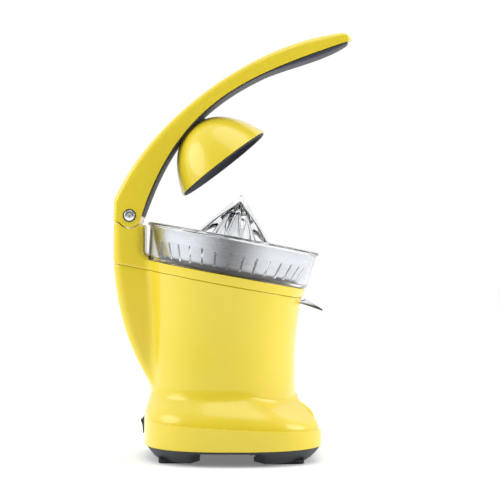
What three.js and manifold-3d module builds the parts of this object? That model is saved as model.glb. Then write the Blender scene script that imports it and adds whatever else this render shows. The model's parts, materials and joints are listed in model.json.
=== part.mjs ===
// Citrus press juicer: arm press with a dome, clear cone, strainer and bowl over a tilted deck,
// on a drum housing with a rear column. Millimetres, +Z up, +X towards the spout, Y across.
// The origin stands on the surface under the middle of the bounding box. Rest pose: arm raised.
import * as THREE from 'three';
import { mergeVertices } from 'three/addons/utils/BufferGeometryUtils.js';
import Module from 'manifold-3d';

const wasm = await Module();
wasm.setup();

const degrees = Math.PI / 180;

// ---------------------------------------------------------------- driving dimensions, mm
const gap = 0.3; // between pieces that meet
const wall = 2.6; // moulded housing wall

// deck: the tilted plane that the bowl stands on; every part above and below it shares its axis
const deckX = -5;
const deckZ = 184.1;
const deckTilt = 10.5 * degrees;
const deckRadius = 81.2;
const deckPlateTop = -7; // along the deck axis
const deckPlate = 2.3;
const seamBelowDeck = 9.7;

// drum and base
const drumX = -9;
const drumRadius = 73.3;
const drumStraightTop = 100; // height where the drum starts to lean into the deck
const drumFlare = 2.2; // power of the flare
const baseBottom = 14.9;
const baseRear = -88.7;
const baseFront = 93.8;
const baseHalfWidth = 92;
const basePower = 2.6; // roundness of the plan outline
const bandTop = 36; // band height at the middle of the base
const bandSlope = 0.055;
const waistZ = 66; // where the base has run into the drum
const scoopX = 112; // centre of the hollow where the glass stands
const scoopRadius = 47;
const scoopFlare = 1;
const scoopTop = 64;

// bottom cover and feet
const footHeight = 9;
const bottomInset = 8;
const bottomPlate = 2.4;
const footTaper = 4;
const footLengthRear = 30;
const footLengthFront = 36;
const footWidth = 20;
const footRearX = -57;
const footFrontX = 54;
const footRearY = 52;
const footFrontY = 57;

// column
const columnHalf = 23.5;
const columnRearTop = -119.2;
const columnFrontTop = -87.6;
const columnCorner = 9;
const splitZ = 236.9; // where arm and column meet at the rear

// hinge
const pivotX = -102.6;
const pivotZ = 243.5;
const knuckleRadius = 12;
const knuckleRoom = 0.9; // between the arm's hub and its seat in the column
const lugRoom = 3.4; // between the hub and what stands under it
const axleRadius = 3;
const lugRadius = 8.5;
const lugInner = 14; // across, from the middle
const lugThickness = 3.4;
const capRadius = 5.3;
const capRingRadius = 6.5;
const capDepth = 1.3;

// arm
const armHalfHinge = 23.5;
const armHalfTip = 18;
const armCorner = 6;
const linerDrop = 3;
const gripDrop = 8.6;
const strapHalf = 9; // steel strap inside the cover
const strapThickness = 4;
const strapEnd = 0.58; // share of the upper edge's curve that it reaches
const hubRadius = 7;

// dome
const domeX = -8.6;
const domeZ = 296.9;
const domeLean = 37.8 * degrees;
const domeRadius = 52.5;
const domeDepth = 49.5;
const domeWall = 2.4;
const domeLiner = 1.8;
const domeLip = 1.5;
const mountRadius = 13.5;
const screwHead = 1.4; // low, clear of the cone's tip when the arm is down
const domeScrewRadius = 2.5;

// bowl, strainer and cone, along the deck axis
const bowlRimRadius = 88.4;
const bowlRimTop = 38.2;
const bowlRimHeight = 2.6;
const bowlWallTop = 85.9;
const bowlWallBottom = 81.6;
const bowlWall = 2.2;
const bowlFoot = 0.5; // underside of the wall, just above the deck lip
const bowlNest = 76.4; // radius of the part that drops inside the lip
const bowlFloorTop = -4.2;
const bowlFloor = 2;
const bowlClearance = 0.8; // round the bowl, towards the rim and the column
const bowlTubeRadius = 12.6;
const bowlTubeTop = 19;
const nozzleU = 68;
const nozzleRadius = 7;
const nozzleBottom = -11.4;

const strainerSheet = 0.9;
const strainerRimTop = 34;
const slotTop = 21.7;
const slotBottom = 5.6;
const strainerAtSlotTop = 78.5;
const strainerAtSlotBottom = 71.5;
const strainerFloor = 1.6;
const strainerCollarRadius = 16.5;
const strainerCollarTop = 12;
const slotCount = 36;
const slotWidth = 2.2;

const coneTip = 81.8;
const coneNotch = 71.2;
const coneBaseRadius = 47.5;
const coneBottom = 7;
const coneWall = 2.4;
const coneRibs = 12;
const finThickness = 1.4;
const socketRadius = 8.4;

// drive, along the deck axis
const spindleRadius = 5;
const spindleTop = 30;
const towerOuter = 11;
const towerTop = 14;
const gearPlateTop = -31;
const gearPlateThickness = 3;
const gearPlateRadius = 56;
const stageOneModule = 1;
const pinionTeeth = 10;
const idlerTeeth = 26;
const stageTwoModule = 1.25;
const idlerPinionTeeth = 10;
const outputTeeth = 28;
const backlash = 0.25;
const gearWidth = 8;
const outputBottom = -20;
const idlerBottom = -29.5;
const idlerWidth = 7.5;
const idlerPinRadius = 2.5;
const motorU = 20;
const motorRadius = 31;
const motorLength = 54;
const motorWall = 2;
const rotorRadius = 20;
const shaftRadius = 3;
const postRadius = 4;
const postCircle = 50;

// spout
const spoutHalf = 12;
const spoutSheet = 1;
const spoutPinU = 66;
const spoutPinW = -17.4;
const spoutPinRadius = 1.5;

// controls
const switchZ = 32;
const switchHalf = 11;
const switchHeight = 17;
const glandY = 30;
const glandZ = 26;
const glandRadius = 6;

// ---------------------------------------------------------------- materials
const finish = (color, roughness, metalness = 0) =>
  new THREE.MeshStandardMaterial({ color, roughness, metalness });
const yellow = finish(0xe6cf2e, 0.28);
const charcoal = finish(0x3c3d44, 0.55);
const black = finish(0x202326, 0.6);
const rubber = finish(0x1b1c1e, 0.9);
const clear = finish(0xdfe6ea, 0.06);
const satinSteel = finish(0xb9bcbe, 0.32, 1);
const steel = finish(0x9a9da0, 0.4, 1);
const chrome = finish(0xdedfe0, 0.12, 1);
const nylon = finish(0xe8e6dc, 0.5);
const copper = finish(0xb8703a, 0.35, 1);
const zinc = finish(0xa4a7a5, 0.5, 1);

// ---------------------------------------------------------------- solids
const point = (x, y, z) => new THREE.Vector3(x, y, z);
const flat = (x, y) => new THREE.Vector2(x, y);
const mix = (a, b, t) => a + (b - a) * t;

/** Closed index buffer turned so that its faces point out. */
function outward(geometry) {
  const merged = mergeVertices(bare(geometry), 1e-4);
  const places = merged.getAttribute('position');
  const index = merged.getIndex();
  let volume = 0;
  const a = point();
  const b = point();
  const c = point();
  for (let i = 0; i < index.count; i += 3) {
    a.fromBufferAttribute(places, index.getX(i));
    b.fromBufferAttribute(places, index.getX(i + 1));
    c.fromBufferAttribute(places, index.getX(i + 2));
    volume += a.dot(b.cross(c));
  }
  if (volume < 0) {
    for (let i = 0; i < index.count; i += 3) {
      const swap = index.getX(i);
      index.setX(i, index.getX(i + 1));
      index.setX(i + 1, swap);
    }
  }
  return merged;
}

/** Geometry with its positions alone, so that shared corners can merge. */
function bare(geometry) {
  const copy = geometry.clone();
  copy.deleteAttribute('normal');
  copy.deleteAttribute('uv');
  return copy;
}

function solid(geometry) {
  const closed = outward(geometry);
  const mesh = new wasm.Mesh({
    numProp: 3,
    vertProperties: new Float32Array(closed.getAttribute('position').array),
    triVerts: new Uint32Array(closed.getIndex().array),
  });
  return new wasm.Manifold(mesh);
}

/** Sum of the first list less the sum of the second, as a geometry. */
function carve(added, removed = []) {
  let body = solid(added[0]);
  for (const piece of added.slice(1)) {
    body = body.add(solid(piece));
  }
  for (const piece of removed) {
    body = body.subtract(solid(piece));
  }
  return geometryOf(body);
}

function common(first, second) {
  return geometryOf(solid(first).intersect(solid(second)));
}

function geometryOf(body) {
  const mesh = body.getMesh();
  const geometry = new THREE.BufferGeometry();
  const count = mesh.vertProperties.length / mesh.numProp;
  const places = new Float32Array(count * 3);
  for (let i = 0; i < count; i++) {
    for (let k = 0; k < 3; k++) {
      places[3 * i + k] = mesh.vertProperties[mesh.numProp * i + k];
    }
  }
  geometry.setAttribute('position', new THREE.BufferAttribute(places, 3));
  geometry.setIndex(new THREE.BufferAttribute(new Uint32Array(mesh.triVerts), 1));
  return geometry;
}

/** Solid of revolution about Z from [radius, height] pairs. */
function turned(profile, sides = 24) {
  const points = profile.map(([r, z]) => flat(r, z));
  return outward(new THREE.LatheGeometry(points, sides).rotateX(Math.PI / 2));
}

/** Ring or tube about Z whose profile closes on itself. */
function ring(profile, sides = 24) {
  return turned([...profile, profile[0]], sides);
}

function rod(radius, bottom, top, sides = 16) {
  return turned([[0, bottom], [radius, bottom], [radius, top], [0, top]], sides);
}

function tube(inner, outer, bottom, top, sides = 16) {
  return ring([[inner, bottom], [outer, bottom], [outer, top], [inner, top]], sides);
}

/** Outline in X and Z, given as [x, z] pairs, drawn across Y from near to far. */
function across(outline, near, far) {
  const shape = new THREE.Shape(outline.map(([x, z]) => flat(x, z)));
  const body = new THREE.ExtrudeGeometry(shape, { depth: far - near, bevelEnabled: false });
  return outward(body.rotateX(Math.PI / 2).translate(0, far, 0));
}

function box(x0, x1, y0, y1, z0, z1) {
  const body = new THREE.BoxGeometry(x1 - x0, y1 - y0, z1 - z0);
  return body.translate((x0 + x1) / 2, (y0 + y1) / 2, (z0 + z1) / 2);
}

/** Rod along Y. */
function pin(radius, near, far, x, z, sides = 16) {
  return rod(radius, near, far, sides).rotateX(-Math.PI / 2).translate(x, 0, z);
}

/** Closed skin over rings with equal numbers of points; both ends are fanned shut. */
function loft(rings) {
  const count = rings[0].length;
  const places = [];
  const index = [];
  for (const points of rings) {
    for (const p of points) {
      places.push(p.x, p.y, p.z);
    }
  }
  for (let k = 0; k + 1 < rings.length; k++) {
    for (let i = 0; i < count; i++) {
      const j = (i + 1) % count;
      const a = k * count + i;
      const b = k * count + j;
      index.push(a, b, b + count, a, b + count, a + count);
    }
  }
  for (const [start, order] of [[0, -1], [(rings.length - 1) * count, 1]]) {
    const middle = point();
    const hub = places.length / 3;
    for (let i = 0; i < count; i++) {
      middle.add(point(...places.slice(3 * (start + i), 3 * (start + i) + 3)));
    }
    middle.divideScalar(count);
    places.push(middle.x, middle.y, middle.z);
    for (let i = 0; i < count; i++) {
      const j = (i + 1) % count;
      index.push(hub, start + (order > 0 ? i : j), start + (order > 0 ? j : i));
    }
  }
  const geometry = new THREE.BufferGeometry();
  geometry.setAttribute('position', new THREE.Float32BufferAttribute(places, 3));
  geometry.setIndex(index);
  return outward(geometry);
}

function moved(geometry, x, y, z) {
  return geometry.clone().translate(x, y, z);
}

/** From the deck's own axes to the frame. */
function onDeck(geometry) {
  return geometry.clone().rotateY(deckTilt).translate(deckX, 0, deckZ);
}

// ---------------------------------------------------------------- scene graph
const group = new THREE.Group();
const deckGroup = new THREE.Group();
deckGroup.position.set(deckX, 0, deckZ);
deckGroup.rotation.y = deckTilt;
const armGroup = new THREE.Group();
armGroup.position.set(pivotX, 0, pivotZ);
const domeGroup = new THREE.Group();
domeGroup.position.set(domeX - pivotX, 0, domeZ - pivotZ);
domeGroup.rotation.y = -domeLean;
armGroup.add(domeGroup);
group.add(deckGroup, armGroup);

function add(parent, name, geometry, material) {
  const bound = outward(geometry);
  bound.computeVertexNormals();
  const mesh = new THREE.Mesh(bound, material);
  mesh.name = name;
  parent.add(mesh);
}

// ---------------------------------------------------------------- housing surfaces
const bodySides = 32;

/** Point of the base's plan outline, moved in by the inset. */
function baseOutline(angle, inset) {
  const halfLength = (baseFront - baseRear) / 2 - inset;
  const c = Math.cos(angle);
  const s = Math.sin(angle);
  const bend = 2 / basePower;
  return flat(
    (baseFront + baseRear) / 2 + halfLength * Math.sign(c) * Math.abs(c) ** bend,
    (baseHalfWidth - inset) * Math.sign(s) * Math.abs(s) ** bend,
  );
}

const around = (i, sides) => (i / sides) * 2 * Math.PI;
const bandTopAt = (x) => bandTop - bandSlope * x;

/** Rings of the base, drum and flare from the bottom edge up to a height over the deck. */
function bodyRings(inset, bottom, top) {
  const rings = [];
  const ringOf = (place) => {
    rings.push(Array.from({ length: bodySides }, (_, i) => place(around(i, bodySides))));
  };
  ringOf((angle) => {
    const p = baseOutline(angle, inset);
    return point(p.x, p.y, bottom);
  });
  for (const t of [0, 0.2, 0.45, 0.7, 1]) {
    ringOf((angle) => {
      const p = baseOutline(angle, inset);
      const share = (1 - t * t) ** 1.6 * (t > 0 ? 0.97 : 1);
      const drum = flat(
        drumX + (drumRadius - inset) * Math.cos(angle),
        (drumRadius - inset) * Math.sin(angle),
      );
      const z = mix(bandTopAt(p.x), waistZ, t);
      return point(mix(drum.x, p.x, share), mix(drum.y, p.y, share), z);
    });
  }
  const last = 1 + top / (deckZ - drumStraightTop);
  for (const s of [0, 0.4, 0.7].filter((s) => s < last - 0.08).concat(last)) {
    const lean = s === last ? deckTilt : deckTilt * s;
    const radius = mix(drumRadius, deckRadius, s ** drumFlare) - inset;
    const rise = s === last ? top : 0;
    const onAxis = s === last ? 1 : s;
    const x = mix(drumX, deckX, onAxis) + rise * Math.sin(lean);
    const z = mix(drumStraightTop, deckZ, onAxis) + rise * Math.cos(lean);
    ringOf((angle) =>
      point(
        x + radius * Math.cos(angle) * Math.cos(lean),
        radius * Math.sin(angle),
        z - radius * Math.cos(angle) * Math.sin(lean),
      ),
    );
  }
  return rings;
}

// rear edge of the column, drawn upwards: a straight foot, then one long curve
const columnCurve = new THREE.CubicBezierCurve(
  flat(-82.9, 76.6),
  flat(-108.1, 114.1),
  flat(-120.5, 167.1),
  flat(columnRearTop, 213.9),
);
const columnFoot = [
  [baseRear + 0.6, bandTop - 2],
  [-87.3, 48],
  [-84, 60],
  [-82.9, 68],
];

/** How far forward the column reaches at a height. */
function columnFront(z) {
  const step = deckZ + (deckX - columnFrontTop) * Math.tan(deckTilt);
  const fillet = 12;
  const t = THREE.MathUtils.clamp((z - step + 2) / fillet, 0, 1);
  return mix(drumX - 50, columnFrontTop, Math.sqrt(1 - (1 - t) ** 2));
}

function columnSection(rear, front, z, inset) {
  const points = [];
  const half = columnHalf - inset;
  const rounds = [
    [front - inset, -half, 3, -90],
    [front - inset, half, 3, 0],
    [rear + inset, half, columnCorner, 90],
    [rear + inset, -half, columnCorner, 180],
  ];
  for (const [x, y, corner, start] of rounds) {
    const radius = Math.max(corner - inset, 0.4);
    for (let k = 0; k <= 2; k++) {
      const angle = (start + 45 * k) * degrees;
      const cx = x - Math.sign(x - (rear + front) / 2) * radius;
      const cy = y - Math.sign(y) * radius;
      points.push(point(cx + radius * Math.cos(angle), cy + radius * Math.sin(angle), z));
    }
  }
  return points;
}

function columnSolid(inset, top) {
  const rear = [...columnFoot];
  for (let k = 0; k <= 6; k++) {
    const p = columnCurve.getPoint(k / 6);
    rear.push([p.x, p.y]);
  }
  const last = rear[rear.length - 1][1];
  for (const z of [mix(last, top, 0.5), top]) {
    rear.push([columnRearTop, z]);
  }
  const kept = rear.filter(([, z]) => z <= top + 1e-6);
  return loft(kept.map(([x, z]) => columnSection(x, columnFront(z), z, inset)));
}

/** The room that the bowl takes over the deck, with a clearance all round. */
function bowlRoom() {
  const nest = bowlNest + bowlClearance + 1;
  const rim = bowlRimRadius + bowlClearance;
  const rimUnderside = bowlRimTop - bowlRimHeight;
  return onDeck(
    turned(
      [
        [0, deckPlateTop - 0.01],
        [nest, deckPlateTop - 0.01],
        [nest, 0],
        [bowlWallBottom + bowlClearance, 0],
        [bowlWallTop + bowlClearance, rimUnderside - 4],
        [rim, rimUnderside - bowlClearance],
        [rim, bowlRimTop + 60],
        [0, bowlRimTop + 60],
      ],
      bodySides,
    ),
  );
}

/** Glass hollow in the front of the base. */
function scoop(clearance) {
  const low = scoopRadius + clearance;
  return moved(
    turned(
      [
        [0, -1],
        [low, -1],
        [low, baseBottom],
        [low + scoopFlare, scoopTop],
        [0, scoopTop],
      ],
      32,
    ),
    scoopX,
    0,
    0,
  );
}

/** Everything on one side of the seam between the two housings, as a big block. */
function seamHalf(above) {
  const edge = -seamBelowDeck + (above ? gap / 2 : -gap / 2);
  const reach = 400;
  const low = above ? edge : -reach;
  const high = above ? reach : edge;
  return onDeck(box(-reach, reach, -reach, reach, low, high));
}

const knuckleCut = () => pin(knuckleRadius + knuckleRoom, -60, 60, pivotX, pivotZ, 28);

function housingOuter() {
  return carve([loft(bodyRings(0, baseBottom, 0)), columnSolid(0, splitZ - gap)], [scoop(0)]);
}

function housingInner() {
  const drum = loft(bodyRings(wall, baseBottom - 1, deckPlateTop - deckPlate));
  const column = columnSolid(wall, pivotZ - knuckleRadius - lugRoom);
  const boundary = onDeck(box(-deckRadius + 3, 400, -400, 400, deckPlateTop - deckPlate, 400));
  return carve([drum, column], [scoop(-wall), boundary, scoopBack()]);
}

/** Material behind the glass hollow, so that the base keeps a wall there. */
function scoopBack() {
  return moved(
    ring(
      [
        [scoopRadius - 1, -1],
        [scoopRadius + wall, -1],
        [scoopRadius + wall, baseBottom],
        [scoopRadius + scoopFlare + wall, scoopTop + wall],
        [scoopRadius + scoopFlare - 1, scoopTop + wall],
      ],
      32,
    ),
    scoopX,
    0,
    0,
  );
}

function spoutSlot() {
  const half = spoutHalf + 0.8;
  return onDeck(box(62, 100, -half, half, -21, -seamBelowDeck + 0.02));
}

const postAngles = [60, 180, 300];
const postPlaces = postAngles.map((angle) => [
  postCircle * Math.cos(angle * degrees),
  postCircle * Math.sin(angle * degrees),
]);

// the switch and gland stand in flats on the rear of the base
const rearWall = baseRear;
const switchHole = () =>
  box(rearWall - 8, rearWall + 12, -switchHalf - gap, switchHalf + gap,
    switchZ - switchHeight / 2 - gap, switchZ + switchHeight / 2 + gap);
const glandHole = () =>
  rod(glandRadius + gap, -20, 30).rotateY(Math.PI / 2).translate(rearWall, glandY, glandZ);

function makeHousing() {
  const outer = housingOuter();
  const inner = housingInner();
  const shell = carve([outer], [inner, bowlRoom(), knuckleCut()]);
  const lower = common(shell, seamHalf(false));
  add(group, 'lower_housing', carve([lower], [spoutSlot(), switchHole(), glandHole()]), yellow);

  const lug = (near) => {
    const outline = [[pivotX - lugRadius, pivotZ - knuckleRadius - 2]];
    for (let k = 0; k <= 8; k++) {
      const angle = Math.PI * (1 - k / 8);
      outline.push([pivotX + lugRadius * Math.cos(angle), pivotZ + lugRadius * Math.sin(angle)]);
    }
    outline.push([pivotX + lugRadius, pivotZ - knuckleRadius - 2]);
    return across(outline, near, near + lugThickness);
  };
  const tower = onDeck(rod(towerOuter, deckPlateTop - 1, towerTop, 32));
  const upper = common(shell, seamHalf(true));
  const holes = [
    onDeck(rod(spindleRadius + 3, -30, towerTop + 5)),
    onDeck(rod(nozzleRadius + 1, -20, 0).translate(nozzleU, 0, 0)),
    pin(axleRadius + gap, -40, 40, pivotX, pivotZ),
  ];
  for (const [u, v] of postPlaces) {
    holes.push(onDeck(rod(1.6, -20, deckPlateTop - 0.8, 12).translate(u, v, 0)));
  }
  add(
    group,
    'upper_housing',
    carve([upper, tower, lug(lugInner), lug(-lugInner - lugThickness)], holes),
    yellow,
  );
}

// ---------------------------------------------------------------- bottom and feet
const bottomTop = baseBottom - gap;
const feet = [
  ['foot_rear_left', footRearX, footRearY, footLengthRear],
  ['foot_rear_right', footRearX, -footRearY, footLengthRear],
  ['foot_front_left', footFrontX, footFrontY, footLengthFront],
  ['foot_front_right', footFrontX, -footFrontY, footLengthFront],
];
const bottomScrews = [
  [-60, 34],
  [-60, -34],
  [22, 62],
  [22, -62],
];

function makeBottom() {
  const plan = (inset, z) =>
    Array.from({ length: bodySides }, (_, i) => {
      const p = baseOutline(around(i, bodySides), inset);
      return point(p.x, p.y, z);
    });
  const outer = loft([
    plan(bottomInset, footHeight),
    plan(3, mix(footHeight, bottomTop, 0.55)),
    plan(1, bottomTop),
  ]);
  const inner = loft([
    plan(bottomInset + wall, footHeight + bottomPlate),
    plan(wall + 2, bottomTop + 1),
  ]);
  const holes = [inner, scoop(wall + 1)];
  for (let k = -3; k <= 3; k++) {
    holes.push(box(-30, 12, 9 * k - 1.6, 9 * k + 1.6, footHeight - 1, footHeight + 4));
  }
  for (const [x, y] of bottomScrews) {
    holes.push(moved(rod(2.2, 0, 20, 12), x, y, 0));
  }
  add(group, 'bottom_cover', carve([outer], holes), black);

  for (const [name, x, y, length] of feet) {
    const outline = (dx, dy, z) => {
      const points = [];
      for (let i = 0; i < 16; i++) {
        const angle = around(i, 16);
        const c = Math.cos(angle);
        const s = Math.sin(angle);
        points.push(point(
          x + dx * Math.sign(c) * Math.abs(c) ** 0.6,
          y + dy * Math.sign(s) * Math.abs(s) ** 0.6,
          z,
        ));
      }
      return points;
    };
    const half = length / 2;
    const wide = footWidth / 2;
    const sole = loft([
      outline(half - footTaper - 1, wide - footTaper, 0),
      outline(half - footTaper, wide - footTaper + 1, 1.2),
      outline(half, wide, footHeight - gap),
    ]);
    add(group, name, sole, rubber);
  }
  bottomScrews.forEach(([x, y], i) => {
    const low = footHeight - 1.4;
    const screw = carve(
      [turned([[0, low], [3.6, low], [3.6, low + 1.1], [1.9, low + 1.1], [1.9, 19], [0, 19]], 10)],
      [box(-0.5, 0.5, -2.6, 2.6, low - 1, low + 0.6)],
    );
    add(group, `bottom_screw_${i + 1}`, moved(screw, x, y, 0), steel);
  });
}

// ---------------------------------------------------------------- switch and gland
function makeRear() {
  const out = rearWall - 1.2;
  const inside = rearWall + 10;
  const half = switchHeight / 2;
  const frame = 1.2;
  const bezel = carve(
    [box(out, inside, -switchHalf, switchHalf, switchZ - half, switchZ + half)],
    [box(out - 1, inside - 2, -switchHalf + 2, switchHalf - 2, switchZ - half + frame,
      switchZ + half - frame)],
  );
  add(group, 'switch_bezel', bezel, black);
  const reach = half - frame - 1.4;
  const rocker = across(
    [
      [out + 6, switchZ - 3],
      [out + 1.5, switchZ - reach],
      [out - 0.6, switchZ - reach],
      [out - 0.5, switchZ - 1],
      [out - 2.8, switchZ + reach - 0.9],
      [out - 1.5, switchZ + reach],
      [out + 1.5, switchZ + reach],
      [out + 6, switchZ + 3],
    ],
    -switchHalf + 2.4,
    switchHalf - 2.4,
  );
  add(group, 'rocker', rocker, black);
  const gland = ring(
    [
      [3.2, 8],
      [glandRadius, 8],
      [glandRadius, -1],
      [glandRadius + 1.4, -1],
      [glandRadius + 1.4, -3],
      [4.6, -6],
      [3.2, -6],
    ],
    16,
  );
  add(group, 'cord_gland', gland.rotateY(Math.PI / 2).translate(rearWall + 1.5, glandY, glandZ),
    rubber);
}

// ---------------------------------------------------------------- arm
const inArm = ([x, z]) => [x - pivotX, z - pivotZ];
const curve = (...places) => new THREE.CubicBezierCurve(...places.map((p) => flat(...inArm(p))));
const armOver = curve([-118.6, 259.3], [-83.1, 341.2], [22.9, 419.7], [113, 428.5]);
const armUnder = curve([-92.4, 238.1], [-53.5, 362.8], [19.8, 385.4], [118, 420.1]);
const underPoints = armUnder.getSpacedPoints(240);

/** Point of the arm's lower edge that faces a point of its upper edge. */
function facing(over) {
  let best = underPoints[0];
  for (const p of underPoints) {
    if (p.distanceTo(over) < best.distanceTo(over)) {
      best = p;
    }
  }
  return best;
}

const armHalf = (t) => mix(armHalfHinge, armHalfTip, t);

/** Stations along the arm: upper point, lower point and half width. */
function armStations() {
  const list = [
    { over: flat(...inArm([columnRearTop, splitZ])), under: flat(...inArm([-92.4, 238.1])) },
  ];
  for (let k = 0; k <= 11; k++) {
    const over = armOver.getPoint(k / 11);
    list.push({ over, under: facing(over), t: k / 11 });
  }
  list.forEach((station) => {
    station.half = armHalf(station.t ?? 0);
  });
  const tip = list[list.length - 1];
  list[list.length - 2].half -= 0.6;
  tip.half -= 4;
  const end = armUnder.getPoint(1);
  list.push({
    over: flat(end.x - 0.4, end.y + 4.4),
    under: flat(end.x + 0.6, end.y + 0.6),
    half: armHalfTip - 9,
  });
  return list;
}

/** Section of the arm between two points, with rounded upper corners. */
function armSection(over, under, half, corner, lower = 0) {
  const up = over.clone().sub(under);
  const height = up.length();
  up.normalize();
  const round = Math.min(corner, half * 0.6, height * 0.6);
  const profile = [[-half, -lower]];
  for (let k = 0; k <= 2; k++) {
    const angle = Math.PI - (k * Math.PI) / 4;
    profile.push([-half + round + round * Math.cos(angle), height - round + round * Math.sin(angle)]);
  }
  for (let k = 2; k >= 0; k--) {
    const angle = (k * Math.PI) / 4;
    profile.push([half - round + round * Math.cos(angle), height - round + round * Math.sin(angle)]);
  }
  profile.push([half, -lower]);
  return profile.map(([y, s]) => point(under.x + up.x * s, y, under.y + up.y * s));
}

function armEnvelope() {
  return loft(armStations().map((s) => armSection(s.over, s.under, s.half, armCorner)));
}

/** Room inside the arm's cover, open underneath and around the hinge. */
function armRoom() {
  const stations = armStations().slice(1, -2);
  const rings = stations.map((s) => {
    const up = s.over.clone().sub(s.under).normalize();
    const over = s.over.clone().addScaledVector(up, -wall);
    return armSection(over, s.under, s.half - wall, armCorner - wall, 6);
  });
  const left = columnRearTop + wall - pivotX;
  const hinge = box(left, knuckleRadius + 6, -armHalfHinge + wall, armHalfHinge - wall,
    -knuckleRadius - 4, 16);
  return [loft(rings), hinge];
}

/** Distance along the lower edge, as a share, where the piece under it starts. */
const linerStart = 0.055;
const gripStart = 0.69;

const linerGap = 2 * gap; // both edges are chords of one curve

function underStrip(from, to, drop, half, steps) {
  const rings = [];
  for (let k = 0; k <= steps; k++) {
    const t = mix(from, to, k / steps);
    const p = armUnder.getPointAt(t);
    const along = armUnder.getTangentAt(t);
    const down = flat(along.y, -along.x);
    const low = drop(t);
    const side = half(t);
    const round = Math.min(low * 0.45, 2.4);
    const corners = [
      [-side, linerGap],
      [-side, low - round],
      [-side + round, low],
      [side - round, low],
      [side, low - round],
      [side, linerGap],
    ];
    rings.push(corners.map(([y, d]) => point(p.x + down.x * d, y, p.y + down.y * d)));
  }
  return loft(rings);
}

const gripEnd = 0.992;
const mountTop = domeDepth + 6.4;

function gripDepth(t) {
  const s = THREE.MathUtils.clamp((t - gripStart) / (gripEnd - gripStart), 0, 1);
  const swell = Math.sin(Math.PI * s ** 1.5) ** 0.8;
  return mix(linerDrop, 1, s) + (gripDrop - 2) * swell;
}

function makeArm() {
  const knuckle = pin(knuckleRadius, -armHalfHinge, armHalfHinge, 0, 0, 28);
  const bore = pin(axleRadius + gap, -60, 60, 0, 0);
  const sink = (side) =>
    pin(capRingRadius + 0.15, side > 0 ? armHalfHinge - capDepth : -60,
      side > 0 ? 60 : -armHalfHinge + capDepth, 0, 0, 20);
  add(
    armGroup,
    'arm_cover',
    carve([armEnvelope(), knuckle], [...armRoom(), bore, sink(1), sink(-1)]),
    yellow,
  );

  const domeRoom = (clearance) =>
    turned(domeProfile(clearance), domeSides).rotateY(-domeLean)
      .translate(domeX - pivotX, 0, domeZ - pivotZ);
  const mountRoom = rod(mountRadius + gap, 30, domeDepth + 12, 28).rotateY(-domeLean)
    .translate(domeX - pivotX, 0, domeZ - pivotZ);
  const inside = (t) => armHalf(t) - 0.9;
  add(
    armGroup,
    'arm_liner',
    carve(
      [underStrip(linerStart, gripStart - 0.002, () => linerDrop, inside, 12)],
      [domeRoom(0.4), mountRoom],
    ),
    charcoal,
  );
  const gripHalf = (t) => {
    const s = THREE.MathUtils.clamp((t - 0.93) / (gripEnd - 0.93), 0, 1);
    return inside(t) - 9 * s * s;
  };
  add(armGroup, 'grip_pad', underStrip(gripStart, gripEnd, gripDepth, gripHalf, 12), charcoal);

  // load-carrying strap from the hinge hub to beyond the dome's mount
  const strap = [];
  const strapSteps = 8;
  for (let k = 0; k <= strapSteps; k++) {
    const over = armOver.getPoint(mix(0, strapEnd, k / strapSteps));
    const under = facing(over);
    const up = over.clone().sub(under).normalize();
    const low = under.clone().addScaledVector(up, mix(9, 7.5, k / strapSteps));
    const high = low.clone().addScaledVector(up, strapThickness);
    strap.push([
      point(low.x, -strapHalf, low.y),
      point(low.x, strapHalf, low.y),
      point(high.x, strapHalf, high.y),
      point(high.x, -strapHalf, high.y),
    ]);
  }
  strap[0] = [
    point(3, -strapHalf, -3),
    point(3, strapHalf, -3),
    point(-3, strapHalf, 3),
    point(-3, -strapHalf, 3),
  ];
  const hub = pin(hubRadius, -lugInner + 0.5, 2, 0, 0);
  const screwRoom = rod(domeScrewRadius + 0.3, 20, 90, 16).rotateY(-domeLean)
    .translate(domeX - pivotX, 0, domeZ - pivotZ);
  const springRoom = pin(9.5, 2.4, 14, 0, 0);
  const mountSeat = rod(mountRadius + gap, 30, mountTop + gap, 28).rotateY(-domeLean)
    .translate(domeX - pivotX, 0, domeZ - pivotZ);
  add(
    armGroup,
    'arm_frame',
    carve([loft(strap), hub], [pin(axleRadius + gap, -60, 60, 0, 0), screwRoom,
      springRoom, mountSeat]),
    steel,
  );

  // dome: shell, inner lining with its lip, mounting pad and screw
  add(domeGroup, 'dome_shell', carve([domeShell()], [rod(domeScrewRadius + 0.5, 20, 90, 16)]),
    yellow);
  add(domeGroup, 'dome_liner', carve([domeLining()], [rod(domeScrewRadius + 0.5, 20, 90, 16)]),
    charcoal);
  const mount = carve([rod(mountRadius, domeDepth - 12, mountTop, 28)],
    [turned(domeProfile(gap), domeSides), rod(domeScrewRadius + 0.3, 20, 90, 16)]);
  add(domeGroup, 'dome_mount', mount, black);
  const headTop = domeDepth - domeWall - domeLiner - 1.05;
  const screw = turned(
    [
      [0, headTop - screwHead],
      [3.4, headTop - screwHead],
      [4, headTop - screwHead / 2],
      [4, headTop],
      [domeScrewRadius, headTop],
      [domeScrewRadius, domeDepth + 11],
      [0, domeDepth + 11],
    ],
    20,
  );
  const headSlot = box(-2.6, 2.6, -0.6, 0.6, headTop - 3, headTop - screwHead / 2);
  add(domeGroup, 'dome_screw', carve([screw], [headSlot]), steel);
}

const domeSides = 24;

/** Outer profile of the dome on its own axis, grown by a clearance. */
function domeCurve(offset) {
  const bulge = new THREE.CubicBezierCurve(
    flat(domeRadius + offset, 0),
    flat(domeRadius * 0.808 + offset, domeDepth * 0.582),
    flat(domeRadius * 0.486 + offset * 0.5, domeDepth + offset),
    flat(0, domeDepth + offset),
  );
  return bulge.getPoints(6).map((p) => [Math.max(p.x, 0), p.y]);
}

function domeProfile(offset) {
  return [[0, 0], ...domeCurve(offset)];
}

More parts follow.
